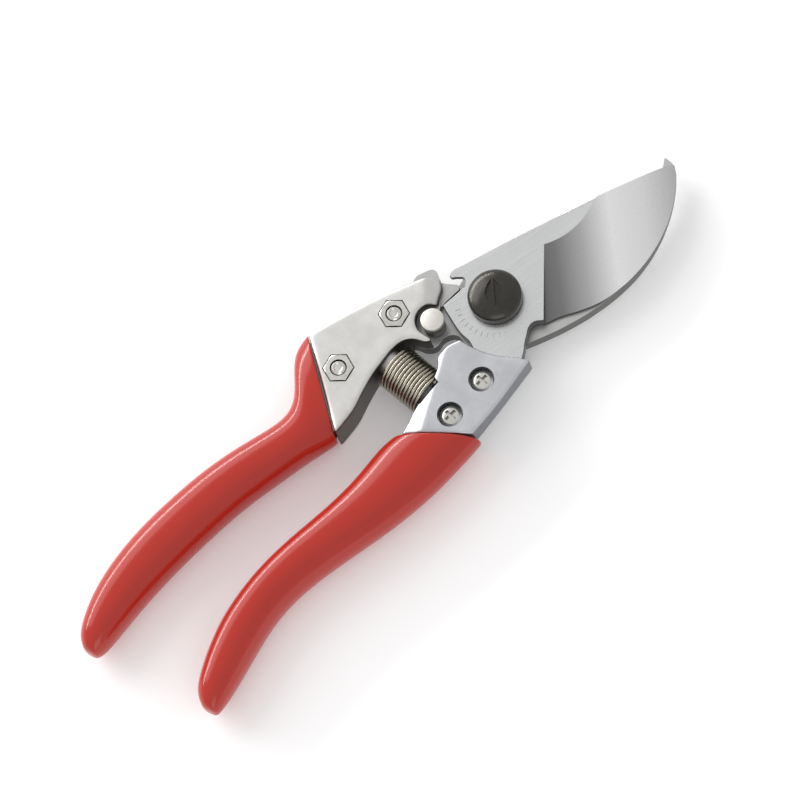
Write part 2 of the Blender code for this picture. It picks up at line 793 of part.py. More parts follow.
def make_blade():
    """Flat-ground blade with a stepped grind, and an arc relief under it that passes the catch nose."""
    blade = plate("blade", blade_outline(), BLADE_BACK, BLADE_FRONT)
    bore(blade, PIVOT_RADIUS + CLEARANCE, (0.0, 0.0), 28)
    for place in BLADE_SCREWS:
        bore(blade, BOLT_RADIUS + CLEARANCE, place)
    cut(blade, grind_cutter())
    first, last = NOSE_RELIEF_ANGLES
    relief = arc(NOSE_RELIEF_RADII[1], last, first, 4)
    relief += [corner(point) for point in arc(NOSE_RELIEF_RADII[0], first, last, 4)]
    cut(blade, plate("nose relief", relief, BLADE_BACK - BEYOND, NOSE_FRONT + CLEARANCE))
    return smooth(blade)


def grind_cutter():
    """What the grinder takes off: all that lies above a shallow cone, right of a straight step.

    The cone stands on the centre of the edge's curve, so the ground face falls evenly to the edge.
    """
    start, centre = (Vector(point) for point in reach([GRIND_START, GRIND_CENTRE]))
    run = (Vector(GRIND_FOOT) - start) * 2.0
    beyond = BLADE_REACH + BEYOND
    outline = [
        corner(start),
        corner((beyond, start.y)),
        corner((beyond, start.y + run.y)),
        corner(start + run),
    ]
    sector = plate("grind sector", outline, BLADE_BACK, BLADE_FRONT + BEYOND)
    inner = (start - centre).length
    fall = (BLADE_THICKNESS - EDGE_THICKNESS) / (EDGE_CURVE - inner)
    outer = EDGE_CURVE + BEYOND
    top = BLADE_FRONT + BEYOND / 2
    cone = turned("grind cone", [
        (inner - BEYOND, top),
        (outer, top),
        (outer, BLADE_FRONT - fall * (outer - inner)),
        (inner - BEYOND, BLADE_FRONT + fall * BEYOND),
    ], centre, GRIND_STEPS)
    return common(sector, cone)


def make_blade_handle():
    """Cast handle: body, core inside the grip, slot for the blade, spring seat and screw pockets."""
    handle = plate("blade_handle", blade_handle_outline(), HANDLE_BACK, HANDLE_FRONT)
    rounded(handle, HANDLE_EDGE)
    cut(handle, slope("back slope", BACK_SLOPE, BACK_SLOPE_TOP, BACK_SLOPE_FALL, -HANDLE_THICKNESS))
    cut(handle, slope("front slope", FRONT_SLOPE, HANDLE_FRONT, FRONT_SLOPE_FALL, BEYOND))
    core = tang_outline(blade_grip_stations(), GRIP_WALL, BLADE_ROOT_SHIFT)
    joined(handle, core_plate("blade core", core, TANG_THICKNESS))
    cut(handle, spring_seat())
    joined(handle, peg("blade peg", SPRING_BOTTOM, SPRING_TOP))
    slot = grown(blade_outline(), CLEARANCE)
    slot_front = BLADE_FRONT + CLEARANCE
    cut(handle, plate("blade slot", slot, HOOK_FRONT, slot_front))
    for number, place in enumerate(BLADE_SCREWS, 1):
        bore(handle, BOLT_RADIUS + CLEARANCE, place)
        wide = SCREW_HEAD_RADIUS + CLEARANCE
        middle = (HOOK_FRONT + slot_front) / 2
        cut(handle, prism(f"head pocket {number}", wide, 24, middle, HANDLE_FRONT + BEYOND, place))
        flats = NUT_FLATS + 2 * CLEARANCE
        floor = HANDLE_BACK + SCREW_NUT_HEIGHT + 2 * CLEARANCE
        cut(handle, hexagon(f"screw nut pocket {number}", flats, REST - BEYOND, floor, place))
    return smooth(handle)


def slope(name, line, height, fall, depth):
    """A slab whose face falls to the left of a line at a height. It takes what is on one side."""
    start, end = Vector(line[0]), Vector(line[1])
    heading = end - start
    along, across = heading.length + BEYOND, HANDLE_THICKNESS
    outline = [
        (-BEYOND, across, CORNER),
        (along, across, CORNER),
        (along, -BEYOND, CORNER),
        (-BEYOND, -BEYOND, CORNER),
    ]
    slab = plate(name, outline, min(0.0, depth), max(0.0, depth))
    turn = Matrix.Rotation(math.atan2(heading.y, heading.x), 4, "Z")
    tilt = Matrix.Rotation(math.radians(-fall), 4, "X")
    slab.data.transform(Matrix.Translation(Vector((*start, height)) * MM) @ turn @ tilt)
    return slab


def spring_seat():
    """A round pocket square to the spring's axis, a clearance below its last coil."""
    seat = Vector((*SPRING_BOTTOM, HANDLE_MIDDLE))
    axis = (Vector((*SPRING_TOP, HANDLE_MIDDLE)) - seat).normalized()
    depth = HANDLE_THICKNESS
    radius = SPRING_RADIUS + SPRING_WIRE + CLEARANCE
    shape = bmesh.new()
    middle = seat + axis * (depth / 2 - CLEARANCE)
    bmesh.ops.create_cone(
        shape,
        cap_ends=True,
        segments=28,
        radius1=radius * MM,
        radius2=radius * MM,
        depth=depth * MM,
        matrix=Matrix.Translation(middle * MM) @ axis.to_track_quat("Z", "Y").to_matrix().to_4x4(),
    )
    return from_bmesh("spring seat", shape)


def make_blade_fasteners():
    """Two cross-slotted screws that bear on the blade's tang, and their nuts at the handle's back."""
    pieces = []
    under = BLADE_FRONT + CLEARANCE
    end = HANDLE_BACK + CLEARANCE
    for number, place in enumerate(BLADE_SCREWS, 1):
        top = under + SCREW_HEAD_HEIGHT
        screw = turned(f"blade_screw_{number}", [
            (0.0, top),
            (SCREW_HEAD_RADIUS - SCREW_HEAD_CHAMFER, top),
            (SCREW_HEAD_RADIUS, top - SCREW_HEAD_CHAMFER),
            (SCREW_HEAD_RADIUS, under),
            (BOLT_RADIUS, under),
            (BOLT_RADIUS, end),
            (0.0, end),
        ], place, 24)
        for turn in (0.0, 90.0):
            cut(screw, block("cross slot", CROSS_SLOT, (*place, top), turn))
        pieces.append(screw)
        nut_front = end + SCREW_NUT_HEIGHT
        nut = hexagon(f"blade_nut_{number}", NUT_FLATS, end, nut_front, place)
        pieces.append(bore(nut, BOLT_RADIUS + CLEARANCE, place))
    return pieces


# ---------------------------------------------------------------- assembly

clear_scene()
PARTS = collection("pruning_shears")
CUTTERS = collection("cutters", hidden=True)

CAST = finish("cast aluminium", (0.72, 0.72, 0.70), 0.45, 0.9)
GREY_CAST = finish("painted cast aluminium", (0.58, 0.59, 0.62), 0.4, 0.7)
STEEL = finish("ground steel", (0.74, 0.74, 0.73), 0.28, 1.0)
ZINC = finish("zinc plate", (0.78, 0.77, 0.72), 0.25, 1.0)
BLACK = finish("gunmetal cap", (0.05, 0.05, 0.05), 0.2, 0.3)
SPRING_STEEL = finish("spring steel", (0.25, 0.23, 0.20), 0.35, 1.0)
CREAM = finish("plated pin", (0.82, 0.80, 0.76), 0.5, 0.4)
RED = finish("red vinyl", (0.60, 0.05, 0.03), 0.25, 0.0)

dressed([make_hook()], STEEL)
dressed([make_hook_handle()], CAST)
dressed([make_grip("hook_grip", hook_grip_stations(), HOOK_ROOT_SHIFT)], RED)
dressed(make_hook_fasteners(), ZINC)
PIVOT_BOLT, PIVOT_CAP, PIVOT_WASHER, PIVOT_NUT = make_pivot()
dressed([PIVOT_BOLT, PIVOT_WASHER, PIVOT_NUT], ZINC)
dressed([PIVOT_CAP], BLACK)
dressed([make_spring(), make_catch_spring()], SPRING_STEEL)
dressed([make_catch_pin()], CREAM)
dressed([make_catch()], STEEL)

BLADE_HALF = bpy.data.objects.new("blade_half_axis", None)
PARTS.objects.link(BLADE_HALF)
BLADE_PIECES = dressed([make_blade()], STEEL) + dressed([make_blade_handle()], GREY_CAST)
BLADE_PIECES += dressed([make_grip("blade_grip", blade_grip_stations(), BLADE_ROOT_SHIFT)], RED)
BLADE_PIECES += dressed(make_blade_fasteners(), ZINC)
for part in BLADE_PIECES:
    part.parent = BLADE_HALF
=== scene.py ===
"""Looks of a pair of bypass pruning shears, closed, lying on their back on a pale table.

Outlines are written in millimetres in the frame's own axes, and MM turns them into metres.
"""

import math

import bmesh
import bpy
from mathutils import Matrix, Vector


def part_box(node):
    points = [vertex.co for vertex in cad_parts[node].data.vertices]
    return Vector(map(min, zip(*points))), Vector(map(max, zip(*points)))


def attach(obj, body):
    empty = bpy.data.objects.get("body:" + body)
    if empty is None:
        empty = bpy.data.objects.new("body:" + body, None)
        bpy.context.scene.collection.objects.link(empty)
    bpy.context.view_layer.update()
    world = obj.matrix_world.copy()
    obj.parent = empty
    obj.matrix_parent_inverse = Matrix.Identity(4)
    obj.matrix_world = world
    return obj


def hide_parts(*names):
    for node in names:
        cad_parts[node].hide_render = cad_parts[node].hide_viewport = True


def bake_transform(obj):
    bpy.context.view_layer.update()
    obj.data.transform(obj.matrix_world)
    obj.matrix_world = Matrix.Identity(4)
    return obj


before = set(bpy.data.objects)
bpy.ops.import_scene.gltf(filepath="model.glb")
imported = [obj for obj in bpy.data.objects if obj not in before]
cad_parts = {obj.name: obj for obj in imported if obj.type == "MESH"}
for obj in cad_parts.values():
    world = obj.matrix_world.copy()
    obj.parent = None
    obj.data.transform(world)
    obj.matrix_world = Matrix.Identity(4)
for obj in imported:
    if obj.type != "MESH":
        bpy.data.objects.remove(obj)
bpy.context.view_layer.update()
MM = 0.001
CORNER = True


# ---------------------------------------------------------------- studio
# A matt white table with a faint glow of its own, a large soft lamp and a slim one beyond the
# far side, a weaker one opposite, and an even pale room. The camera is high on the near side.

TABLE = 3.0
TABLE_DROP = 0.00005
TABLE_GLOW = 0.12
ROOM_LIGHT = 0.72
VIEW_RIGHT = Vector((0.6987, -0.7009, -0.1433))
VIEW_UP = Vector((0.7017, 0.6323, 0.3285))
VIEW_BACK = Vector((-0.1396, -0.3301, 0.9336))
AIM = Vector((-0.0375, -0.0010, 0.0105))
DISTANCE = 2.944
LENS = 500.0


def simple_nodes(name):
    """A material with its shader, for a finish that is worked out below it."""
    made = bpy.data.materials.new(name)
    made.use_nodes = True
    return made, made.node_tree, made.node_tree.nodes["Principled BSDF"]


def make_table():
    shape = bmesh.new()
    bmesh.ops.create_grid(shape, x_segments=1, y_segments=1, size=TABLE / 2)
    bmesh.ops.translate(shape, verts=shape.verts, vec=(0.0, 0.0, -TABLE_DROP))
    mesh = bpy.data.meshes.new("table")
    shape.to_mesh(mesh)
    shape.free()
    top = bpy.data.objects.new("table", mesh)
    bpy.context.scene.collection.objects.link(top)
    finish, tree, shader = simple_nodes("white table")
    shader.inputs["Base Color"].default_value = (0.94, 0.94, 0.94, 1.0)
    shader.inputs["Roughness"].default_value = 0.9
    shader.inputs["Specular IOR Level"].default_value = 0.1
    shader.inputs["Emission Color"].default_value = (1.0, 1.0, 1.0, 1.0)
    shader.inputs["Emission Strength"].default_value = TABLE_GLOW
    mesh.materials.append(finish)


def soft_lamp(name, place, size, power):
    lamp = bpy.data.lights.new(name, "AREA")
    lamp.shape = "RECTANGLE"
    lamp.size, lamp.size_y = size
    lamp.energy = power
    made = bpy.data.objects.new(name, lamp)
    bpy.context.scene.collection.objects.link(made)
    made.location = place
    made.rotation_euler = (AIM - Vector(place)).to_track_quat("-Z", "Y").to_euler()


def make_room():
    world = bpy.data.worlds.new("pale room")
    bpy.context.scene.world = world
    world.use_nodes = True
    light = world.node_tree.nodes["Background"]
    light.inputs["Color"].default_value = (1.0, 1.0, 1.0, 1.0)
    light.inputs["Strength"].default_value = ROOM_LIGHT


def make_camera():
    camera = bpy.data.cameras.new("camera")
    camera.lens = LENS
    camera.sensor_width = 36.0
    camera.clip_start = 0.05
    camera.clip_end = 10.0
    made = bpy.data.objects.new("camera", camera)
    bpy.context.scene.collection.objects.link(made)
    turn = Matrix((VIEW_RIGHT, VIEW_UP, VIEW_BACK)).transposed().to_4x4()
    made.matrix_world = Matrix.Translation(AIM + VIEW_BACK * DISTANCE) @ turn
    bpy.context.scene.camera = made


make_table()
make_room()
soft_lamp("key lamp", (-0.15, 0.75, 0.45), (0.8, 0.8), 3.6)
soft_lamp("strip lamp", (-0.05, 0.82, 0.34), (1.3, 0.08), 4.5)
soft_lamp("fill lamp", (-0.45, -0.55, 0.35), (0.5, 0.5), 0.8)
make_camera()
bpy.context.scene.view_settings.view_transform = "Standard"


# ---------------------------------------------------------------- hook
# The lower, blunt jaw: a 4 mm plate of forged steel, ground on both faces, drilled for the pivot
# and bolted into the back of its handle. Its rim shows as a band below the cutting edge.

HOOK_BACK, HOOK_FRONT = (corner.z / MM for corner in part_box("hook"))
HOOK_BOLTS = ((-21.7, 16.4), (-42.5, 16.7))
CATCH_PIN = (-16.0, 7.7)
BLADE_REACH = 59.4
BOSS_RADIUS = 14.0
PIVOT_HOLE = 4.3
BOLT_HOLE = 2.3
PIN_HOLE = 1.9
CLEARANCE = 0.3
THROUGH = 30.0


def polar(radius, degrees, centre=(0.0, 0.0)):
    angle = math.radians(degrees)
    return (centre[0] + radius * math.cos(angle), centre[1] + radius * math.sin(angle))


def arc(radius, start, end, count, centre=(0.0, 0.0)):
    return [polar(radius, start + (end - start) * i / (count - 1), centre) for i in range(count)]


def linked(name, data):
    made = bpy.data.objects.new(name, data)
    bpy.context.scene.collection.objects.link(made)
    return made


def from_bmesh(name, shape):
    bmesh.ops.recalc_face_normals(shape, faces=shape.faces)
    mesh = bpy.data.meshes.new(name)
    shape.to_mesh(mesh)
    shape.free()
    return linked(name, mesh)


def baked(piece):
    """Applies the piece's modifiers to its mesh."""
    graph = bpy.context.evaluated_depsgraph_get()
    graph.update()
    mesh = bpy.data.meshes.new_from_object(piece.evaluated_get(graph))
    piece.modifiers.clear()
    old, piece.data = piece.data, mesh
    bpy.data.meshes.remove(old)
    return piece


def plate(name, outline, back, front, fineness=8):
    """A flat piece cut to a smooth outline, between two heights."""
    curve = bpy.data.curves.new(name, "CURVE")
    curve.dimensions = "2D"
    curve.fill_mode = "BOTH"
    curve.resolution_u = fineness
    curve.extrude = (front - back) / 2 * MM
    spline = curve.splines.new("BEZIER")
    spline.bezier_points.add(len(outline) - 1)
    spline.use_cyclic_u = True
    for knot, point in zip(spline.bezier_points, outline):
        knot.co = (point[0] * MM, point[1] * MM, 0.0)
        kind = "VECTOR" if len(point) > 2 else "AUTO"
        knot.handle_left_type = kind
        knot.handle_right_type = kind
    flat = linked("flat curve", curve)
    bpy.context.view_layer.update()
    graph = bpy.context.evaluated_depsgraph_get()
    mesh = bpy.data.meshes.new_from_object(flat.evaluated_get(graph))
    bpy.data.objects.remove(flat)
    shape = bmesh.new()
    shape.from_mesh(mesh)
    bpy.data.meshes.remove(mesh)
    bmesh.ops.remove_doubles(shape, verts=shape.verts, dist=1e-6)
    bmesh.ops.dissolve_limit(
        shape, angle_limit=math.radians(0.3), verts=shape.verts, edges=shape.edges
    )
    bmesh.ops.translate(shape, verts=shape.verts, vec=(0.0, 0.0, (back + front) / 2 * MM))
    return from_bmesh(name, shape)


def rod(name, radius, sides, back, front, place=(0.0, 0.0), turn=0.0):
    """A round or many-sided bar along Z."""
    shape = bmesh.new()
    bmesh.ops.create_cone(
        shape,
        cap_ends=True,
        segments=sides,
        radius1=radius * MM,
        radius2=radius * MM,
        depth=(front - back) * MM,
        matrix=Matrix.Translation((place[0] * MM, place[1] * MM, (front + back) / 2 * MM))
        @ Matrix.Rotation(math.radians(turn), 4, "Z"),
    )
    return from_bmesh(name, shape)


def eased(piece, width, segments=2, above=40):
    """Rounds the edges that turn by more than an angle."""
    bevel = piece.modifiers.new("eased edges", "BEVEL")
    bevel.width = width * MM
    bevel.segments = segments
    bevel.limit_method = "ANGLE"
    bevel.angle_limit = math.radians(above)
    return baked(piece)


def carved(piece, *tools, way="DIFFERENCE"):
    """Cuts the tools from the piece, or joins them to it, and removes them."""
    for tool in tools:
        change = piece.modifiers.new("carve", "BOOLEAN")
        change.operation = way
        change.object = tool
    baked(piece)
    for tool in tools:
        bpy.data.objects.remove(tool)
    return piece


def drilled(piece, radius, places, sides=40):
    return carved(piece, *[rod("drill", radius, sides, -THROUGH, THROUGH, p) for p in places])


def shaded(piece, sharp=35):
    """Smooth shading that keeps flat faces flat and its corners crisp."""
    piece.data.shade_smooth()
    piece.data.set_sharp_from_angle(angle=math.radians(sharp))
    weigh = piece.modifiers.new("flat faces stay flat", "WEIGHTED_NORMAL")
    weigh.keep_sharp = True
    return baked(piece)


def fitted(piece, body, node, finish):
    """Dresses a finished piece, sets it on its body and lets it stand for its CAD node."""
    piece.data.materials.clear()
    piece.data.materials.append(finish)
    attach(piece, body)
    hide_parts(node)
    return piece


def reach(points):
    """Points given as (share of the blade's reach, y)."""
    return [(point[0] * BLADE_REACH,) + tuple(point[1:]) for point in points]


def hook_outline():
    rim = reach([
        (1.0, -4.3, CORNER), (1.0, -7.6), (0.964, -10.2), (0.888, -13.9), (0.79, -17.3),
        (0.68, -19.9), (0.565, -21.4), (0.455, -21.8), (0.286, -20.7),
    ])
    boss = arc(BOSS_RADIUS, 254, 190, 5)
    neck = [(-13.9, 1.8), (-16.6, 3.7), (-19.9, 3.5), (-22.0, 5.1), (-23.2, 7.7), (-25.6, 11.0)]
    tang_end = arc(4.6, 270, 90, 5, HOOK_BOLTS[1])
    back = [(-21.7, 20.8), (-14.5, 18.4), (-10.0, 14.2)]
    shoulder = arc(BOSS_RADIUS - 1.8, 112, 0, 5)
    inner = [(14.2, -6.0)] + reach([
        (0.29, -10.6), (0.37, -13.1), (0.5, -14.1), (0.65, -13.2), (0.81, -10.4), (0.93, -7.0),
    ])
    return rim + [(8.2, -18.4), (1.6, -15.9)] + boss + neck + tang_end + back + shoulder + inner


def node_group(name, inputs, outputs):
    """An empty shader group with its named sockets."""
    made = bpy.data.node_groups.new(name, "ShaderNodeTree")
    for label, kind, value in inputs:
        socket = made.interface.new_socket(name=label, in_out="INPUT", socket_type=kind)
        if value is not None:
            socket.default_value = value
    for label, kind in outputs:
        made.interface.new_socket(name=label, in_out="OUTPUT", socket_type=kind)
    return made, made.nodes.new("NodeGroupInput"), made.nodes.new("NodeGroupOutput")


def noise(tree, vector, scale, detail=3.0, roughness=0.55):
    """A noise texture read along a vector, with a fixed scale or one from a socket."""
    made = tree.nodes.new("ShaderNodeTexNoise")
    made.inputs["Detail"].default_value = detail
    made.inputs["Roughness"].default_value = roughness
    tree.links.new(vector, made.inputs["Vector"])
    if isinstance(scale, (int, float)):
        made.inputs["Scale"].default_value = scale
    else:
        tree.links.new(scale, made.inputs["Scale"])
    return made.outputs["Fac"]


def calculated(tree, operation, first, second):
    """A Math node on sockets or fixed values."""
    made = tree.nodes.new("ShaderNodeMath")
    made.operation = operation
    for socket, value in zip(made.inputs, (first, second)):
        if isinstance(value, (int, float)):
            socket.default_value = value
        else:
            tree.links.new(value, socket)
    return made.outputs["Value"]


def ranged(tree, value, low, high, to_low, to_high):
    """Maps a value from one range to another, held at its ends."""
    made = tree.nodes.new("ShaderNodeMapRange")
    made.inputs["From Min"].default_value = low
    made.inputs["From Max"].default_value = high
    made.inputs["To Min"].default_value = to_low
    made.inputs["To Max"].default_value = to_high
    tree.links.new(value, made.inputs["Value"])
    return made.outputs["Result"]


def bumped(tree, height, strength, distance):
    made = tree.nodes.new("ShaderNodeBump")
    made.inputs["Strength"].default_value = strength
    made.inputs["Distance"].default_value = distance
    tree.links.new(height, made.inputs["Height"])
    return made.outputs["Normal"]


def make_grinding_group():
    """Fine parallel grinding lines along X of the vector, with a slow change of tone."""
    tree, given, out = node_group(
        "grinding lines",
        [("Vector", "NodeSocketVector", None), ("Lines", "NodeSocketFloat", 3000.0)],
        [("Lines", "NodeSocketFloat"), ("Tone", "NodeSocketFloat"), ("Normal", "NodeSocketVector")],
    )
    stretch = tree.nodes.new("ShaderNodeVectorMath")
    stretch.operation = "MULTIPLY"
    stretch.inputs[1].default_value = (0.008, 1.0, 1.0)
    tree.links.new(given.outputs["Vector"], stretch.inputs[0])
    lines = noise(tree, stretch.outputs["Vector"], given.outputs["Lines"], 4.0, 0.7)
    tree.links.new(lines, out.inputs["Lines"])
    tree.links.new(noise(tree, given.outputs["Vector"], 60.0), out.inputs["Tone"])
    tree.links.new(bumped(tree, lines, 0.08, 0.00001), out.inputs["Normal"])
    return tree


GRINDING = make_grinding_group()


def turned_coordinates(tree, degrees=0.0, place=(0.0, 0.0)):
    """Object coordinates turned about Z, so that X runs along a finish's own direction."""
    where = tree.nodes.new("ShaderNodeTexCoord")
    mapping = tree.nodes.new("ShaderNodeMapping")
    mapping.vector_type = "TEXTURE"
    mapping.inputs["Location"].default_value = (place[0] * MM, place[1] * MM, 0.0)
    mapping.inputs["Rotation"].default_value = (0.0, 0.0, math.radians(degrees))
    tree.links.new(where.outputs["Object"], mapping.inputs["Vector"])
    return mapping.outputs["Vector"]


def placed_group(tree, group, **given):
    """Places a group and feeds its inputs with sockets or values."""
    made = tree.nodes.new("ShaderNodeGroup")
    made.node_tree = group
    for label, value in given.items():
        socket = made.inputs[label]
        if isinstance(value, (int, float)):
            socket.default_value = value
        else:
            tree.links.new(value, socket)
    return made.outputs


def blended(tree, mask, low, high):
    """A colour between two, by a mask."""
    mix = tree.nodes.new("ShaderNodeMix")
    mix.data_type = "RGBA"
    for socket, colour in ((mix.inputs[6], low), (mix.inputs[7], high)):
        if isinstance(colour, tuple):
            socket.default_value = (*colour, 1.0)
        else:
            tree.links.new(colour, socket)
    tree.links.new(mask, mix.inputs[0])
    return mix.outputs[2]


def upwards(tree, low, high):
    """A mask from the surface's own slope: 0 on walls, 1 on faces that look up or down."""
    where = tree.nodes.new("ShaderNodeTexCoord")
    split = tree.nodes.new("ShaderNodeSeparateXYZ")
    tree.links.new(where.outputs["Normal"], split.inputs["Vector"])
    return ranged(tree, calculated(tree, "ABSOLUTE", split.outputs["Z"], 0.0), low, high, 0.0, 1.0)


def ground_steel(name, dark, light, rough, direction):
    """Steel with fine grinding lines in one direction, and painted shade on its walls."""
    finish, tree, shader = simple_nodes(name)
    marks = placed_group(tree, GRINDING, Vector=turned_coordinates(tree, direction), Lines=6500.0)
    tone = calculated(tree, "ADD", marks["Lines"], calculated(tree, "MULTIPLY", marks["Tone"], 0.6))
    face = blended(tree, ranged(tree, tone, 0.5, 1.1, 0.0, 1.0), dark, light)
    # Painted shade: steep faces are given a third of the dark colour, by their slope.
    wall = tuple(0.33 * value for value in dark)
    colour = blended(tree, upwards(tree, 0.35, 0.85), wall, face)
    tree.links.new(colour, shader.inputs["Base Color"])
    tree.links.new(
        ranged(tree, marks["Lines"], 0.3, 0.7, rough - 0.05, rough + 0.06),
        shader.inputs["Roughness"],
    )
    tree.links.new(marks["Normal"], shader.inputs["Normal"])
    shader.inputs["Metallic"].default_value = 1.0
    return finish, tree, shader, colour


# The hook and the catch lever: ground steel with painted shade on their walls.
HOOK_STEEL = ground_steel("hook steel", (0.50, 0.50, 0.49), (0.62, 0.62, 0.61), 0.34, 0.0)[0]

hook = plate("hook_plate", hook_outline(), HOOK_BACK, HOOK_FRONT)
eased(hook, 0.12)
drilled(hook, PIVOT_HOLE, [(0.0, 0.0)], 64)
drilled(hook, BOLT_HOLE, HOOK_BOLTS)
drilled(hook, PIN_HOLE, [CATCH_PIN])
fitted(shaded(hook), "hook_half", "hook", HOOK_STEEL)


# ---------------------------------------------------------------- blade
# The upper, cutting jaw: 3.2 mm blade steel, satin on its flat, with one long ground face that
# falls away to the edge and ends in a stepped wall. It is screwed into its handle from the front.

BLADE_BACK, BLADE_FRONT = (corner.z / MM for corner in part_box("blade"))
BLADE_SCREWS = ((-19.1, -14.0), (-31.7, -14.7))
GRIND_START = Vector((19.6, 1.2))
GRIND_FOOT = Vector((3.6, -14.4))
GRIND_CENTRE = Vector((29.52, 17.7))
EDGE_CURVE = 39.8
EDGE_THICKNESS = 0.7
BEYOND = 5.0
NOSE_RELIEF_RADII = (10.2, 16.5)
NOSE_RELIEF_ANGLES = (70, 112)
NOSE_FRONT = 9.0
TICK_CIRCLE = 10.5
TICK_ANGLES = range(150, 241, 9)


def spun(name, profile, place=(0.0, 0.0), steps=64):
    """A turned piece from its (radius, height) profile, ends on the axis or joined up."""
    shape = bmesh.new()
    corners = [shape.verts.new((radius * MM, 0.0, height * MM)) for radius, height in profile]
    if profile[0][0] > 0:
        corners.append(corners[0])
    edges = [shape.edges.new(pair) for pair in zip(corners, corners[1:])]
    bmesh.ops.spin(
        shape,
        geom=list(shape.verts) + edges,
        cent=(0.0, 0.0, 0.0),
        axis=(0.0, 0.0, 1.0),
        angle=math.tau,
        steps=steps,
        use_merge=True,
    )
    bmesh.ops.remove_doubles(shape, verts=shape.verts, dist=1e-7)
    bmesh.ops.translate(shape, verts=shape.verts, vec=(place[0] * MM, place[1] * MM, 0.0))
    return from_bmesh(name, shape)


def blade_outline():
    spine = [(-3.2, 14.1), (0.9, 13.2)] + reach([(0.965, -6.8), (1.0, -8.2, CORNER)])
    edge = reach([
        (0.975, -10.2), (0.92, -13.2), (0.845, -16.4), (0.745, -19.3), (0.64, -21.2),
        (0.52, -22.1), (0.405, -21.8), (0.31, -20.6), (0.222, -18.3),
    ])
    ricasso = [(8.5, -15.6), (4.3, -13.9, CORNER), (1.6, -12.1), (-2.2, -13.7), (-6.7, -16.8)]
    tang_end = arc(4.2, 270, 90, 5, BLADE_SCREWS[1])
    heel = [(-22.0, -9.4), (-16.0, -7.6), (-13.6, -4.2), (-13.2, 0.5), (-11.6, 7.0)]
    notch = [(-10.9, 9.2, CORNER), (-3.2, 8.6, CORNER), (-1.7, 10.3), (-2.7, 11.9), (-3.9, 13.3)]
    return spine + edge + ricasso + [(-11.0, -18.5), (-20.0, -18.9)] + tang_end + heel + notch


def ground_off():
    """What the grinder takes: all above a shallow cone, on the tip's side of a straight step."""
    low = GRIND_START + (GRIND_FOOT - GRIND_START) * 2.0
    beyond = BLADE_REACH + BEYOND
    sector = plate("ground off", [
        (*GRIND_START, CORNER), (beyond, GRIND_START.y, CORNER), (beyond, low.y, CORNER),
        (*low, CORNER),
    ], BLADE_BACK, BLADE_FRONT + BEYOND)
    inner = (GRIND_START - GRIND_CENTRE).length
    outer = EDGE_CURVE + BEYOND
    fall = (BLADE_FRONT - BLADE_BACK - EDGE_THICKNESS) / (EDGE_CURVE - inner)
    cone = spun("grind cone", [
        (inner - BEYOND, BLADE_FRONT + BEYOND / 2), (outer, BLADE_FRONT + BEYOND / 2),
        (outer, BLADE_FRONT - fall * (outer - inner)),
        (inner - BEYOND, BLADE_FRONT + fall * BEYOND),
    ], GRIND_CENTRE, 256)
    return carved(sector, cone, way="INTERSECT")


def tick(degrees):
    """One short radial mark, stamped 0.15 mm deep into the flat beside the pivot."""
    mark = bmesh.new()
    where = polar(TICK_CIRCLE, degrees)
    bmesh.ops.create_cube(mark, size=1.0, matrix=(
        Matrix.Translation(Vector((*where, BLADE_FRONT)) * MM)
        @ Matrix.Rotation(math.radians(degrees), 4, "Z")
        @ Matrix.Diagonal((1.3 * MM, 0.35 * MM, 0.3 * MM, 1.0))
    ))
    return from_bmesh("tick", mark)


def make_blade():
    blade = plate("blade_plate", blade_outline(), BLADE_BACK, BLADE_FRONT)
    eased(blade, 0.2)
    carved(blade, ground_off())
    carved(blade, *[tick(degrees) for degrees in TICK_ANGLES])
    drilled(blade, PIVOT_HOLE, [(0.0, 0.0)], 64)
    drilled(blade, BOLT_HOLE, BLADE_SCREWS)
    (near, far), (first, last) = NOSE_RELIEF_RADII, NOSE_RELIEF_ANGLES
    relief = arc(far, last, first, 4) + [(*point, CORNER) for point in arc(near, first, last, 4)]
    carved(blade, plate("nose relief", relief, BLADE_BACK - BEYOND, NOSE_FRONT + CLEARANCE))
    return shaded(blade, 4)


def make_blade_steel():
    """Satin on the flat; on the ground face a painted reflection, light in its middle and painted
    darker towards its step and tip; painted shade on every wall.
    """
    finish, tree, shader, colour = ground_steel(
        "blade steel", (0.68, 0.685, 0.69), (0.77, 0.775, 0.78), 0.27, -12.0
    )
    # Painted reflection: a tone along the blade, dark by the step, light in the middle, dimmer by
    # the tip.
    split = tree.nodes.new("ShaderNodeSeparateXYZ")
    tree.links.new(turned_coordinates(tree, -38.0), split.inputs["Vector"])
    painted_reflection_ramp = tree.nodes.new("ShaderNodeValToRGB")
    tree.links.new(ranged(tree, split.outputs["X"], 0.010, 0.056, 0.0, 1.0), painted_reflection_ramp.inputs["Fac"])
    painted_reflection_ramp.color_ramp.elements[0].color = (0.15, 0.15, 0.15, 1.0)
    painted_reflection_ramp.color_ramp.elements[1].color = (0.40, 0.40, 0.41, 1.0)
    for share, value in ((0.16, 0.24), (0.32, 0.50), (0.50, 0.94), (0.70, 0.82)):
        painted_reflection_ramp.color_ramp.elements.new(share).color = (value, value, value, 1.0)
    flat = upwards(tree, 0.9935, 0.9985)
    # Painted shade: every wall of the blade, the step's among them, is coloured nearly black.
    wall_shade_mask = upwards(tree, 0.35, 0.85)
    ground = blended(tree, wall_shade_mask, (0.10, 0.10, 0.10), painted_reflection_ramp.outputs["Color"])
    tree.links.new(blended(tree, flat, ground, colour), shader.inputs["Base Color"])
    return finish


fitted(make_blade(), "blade_half", "blade", make_blade_steel())


# ---------------------------------------------------------------- pivot
# A shouldered bolt through both jaws with a gunmetal cap pressed over its head, and a washer
# and thin nut behind the hook.

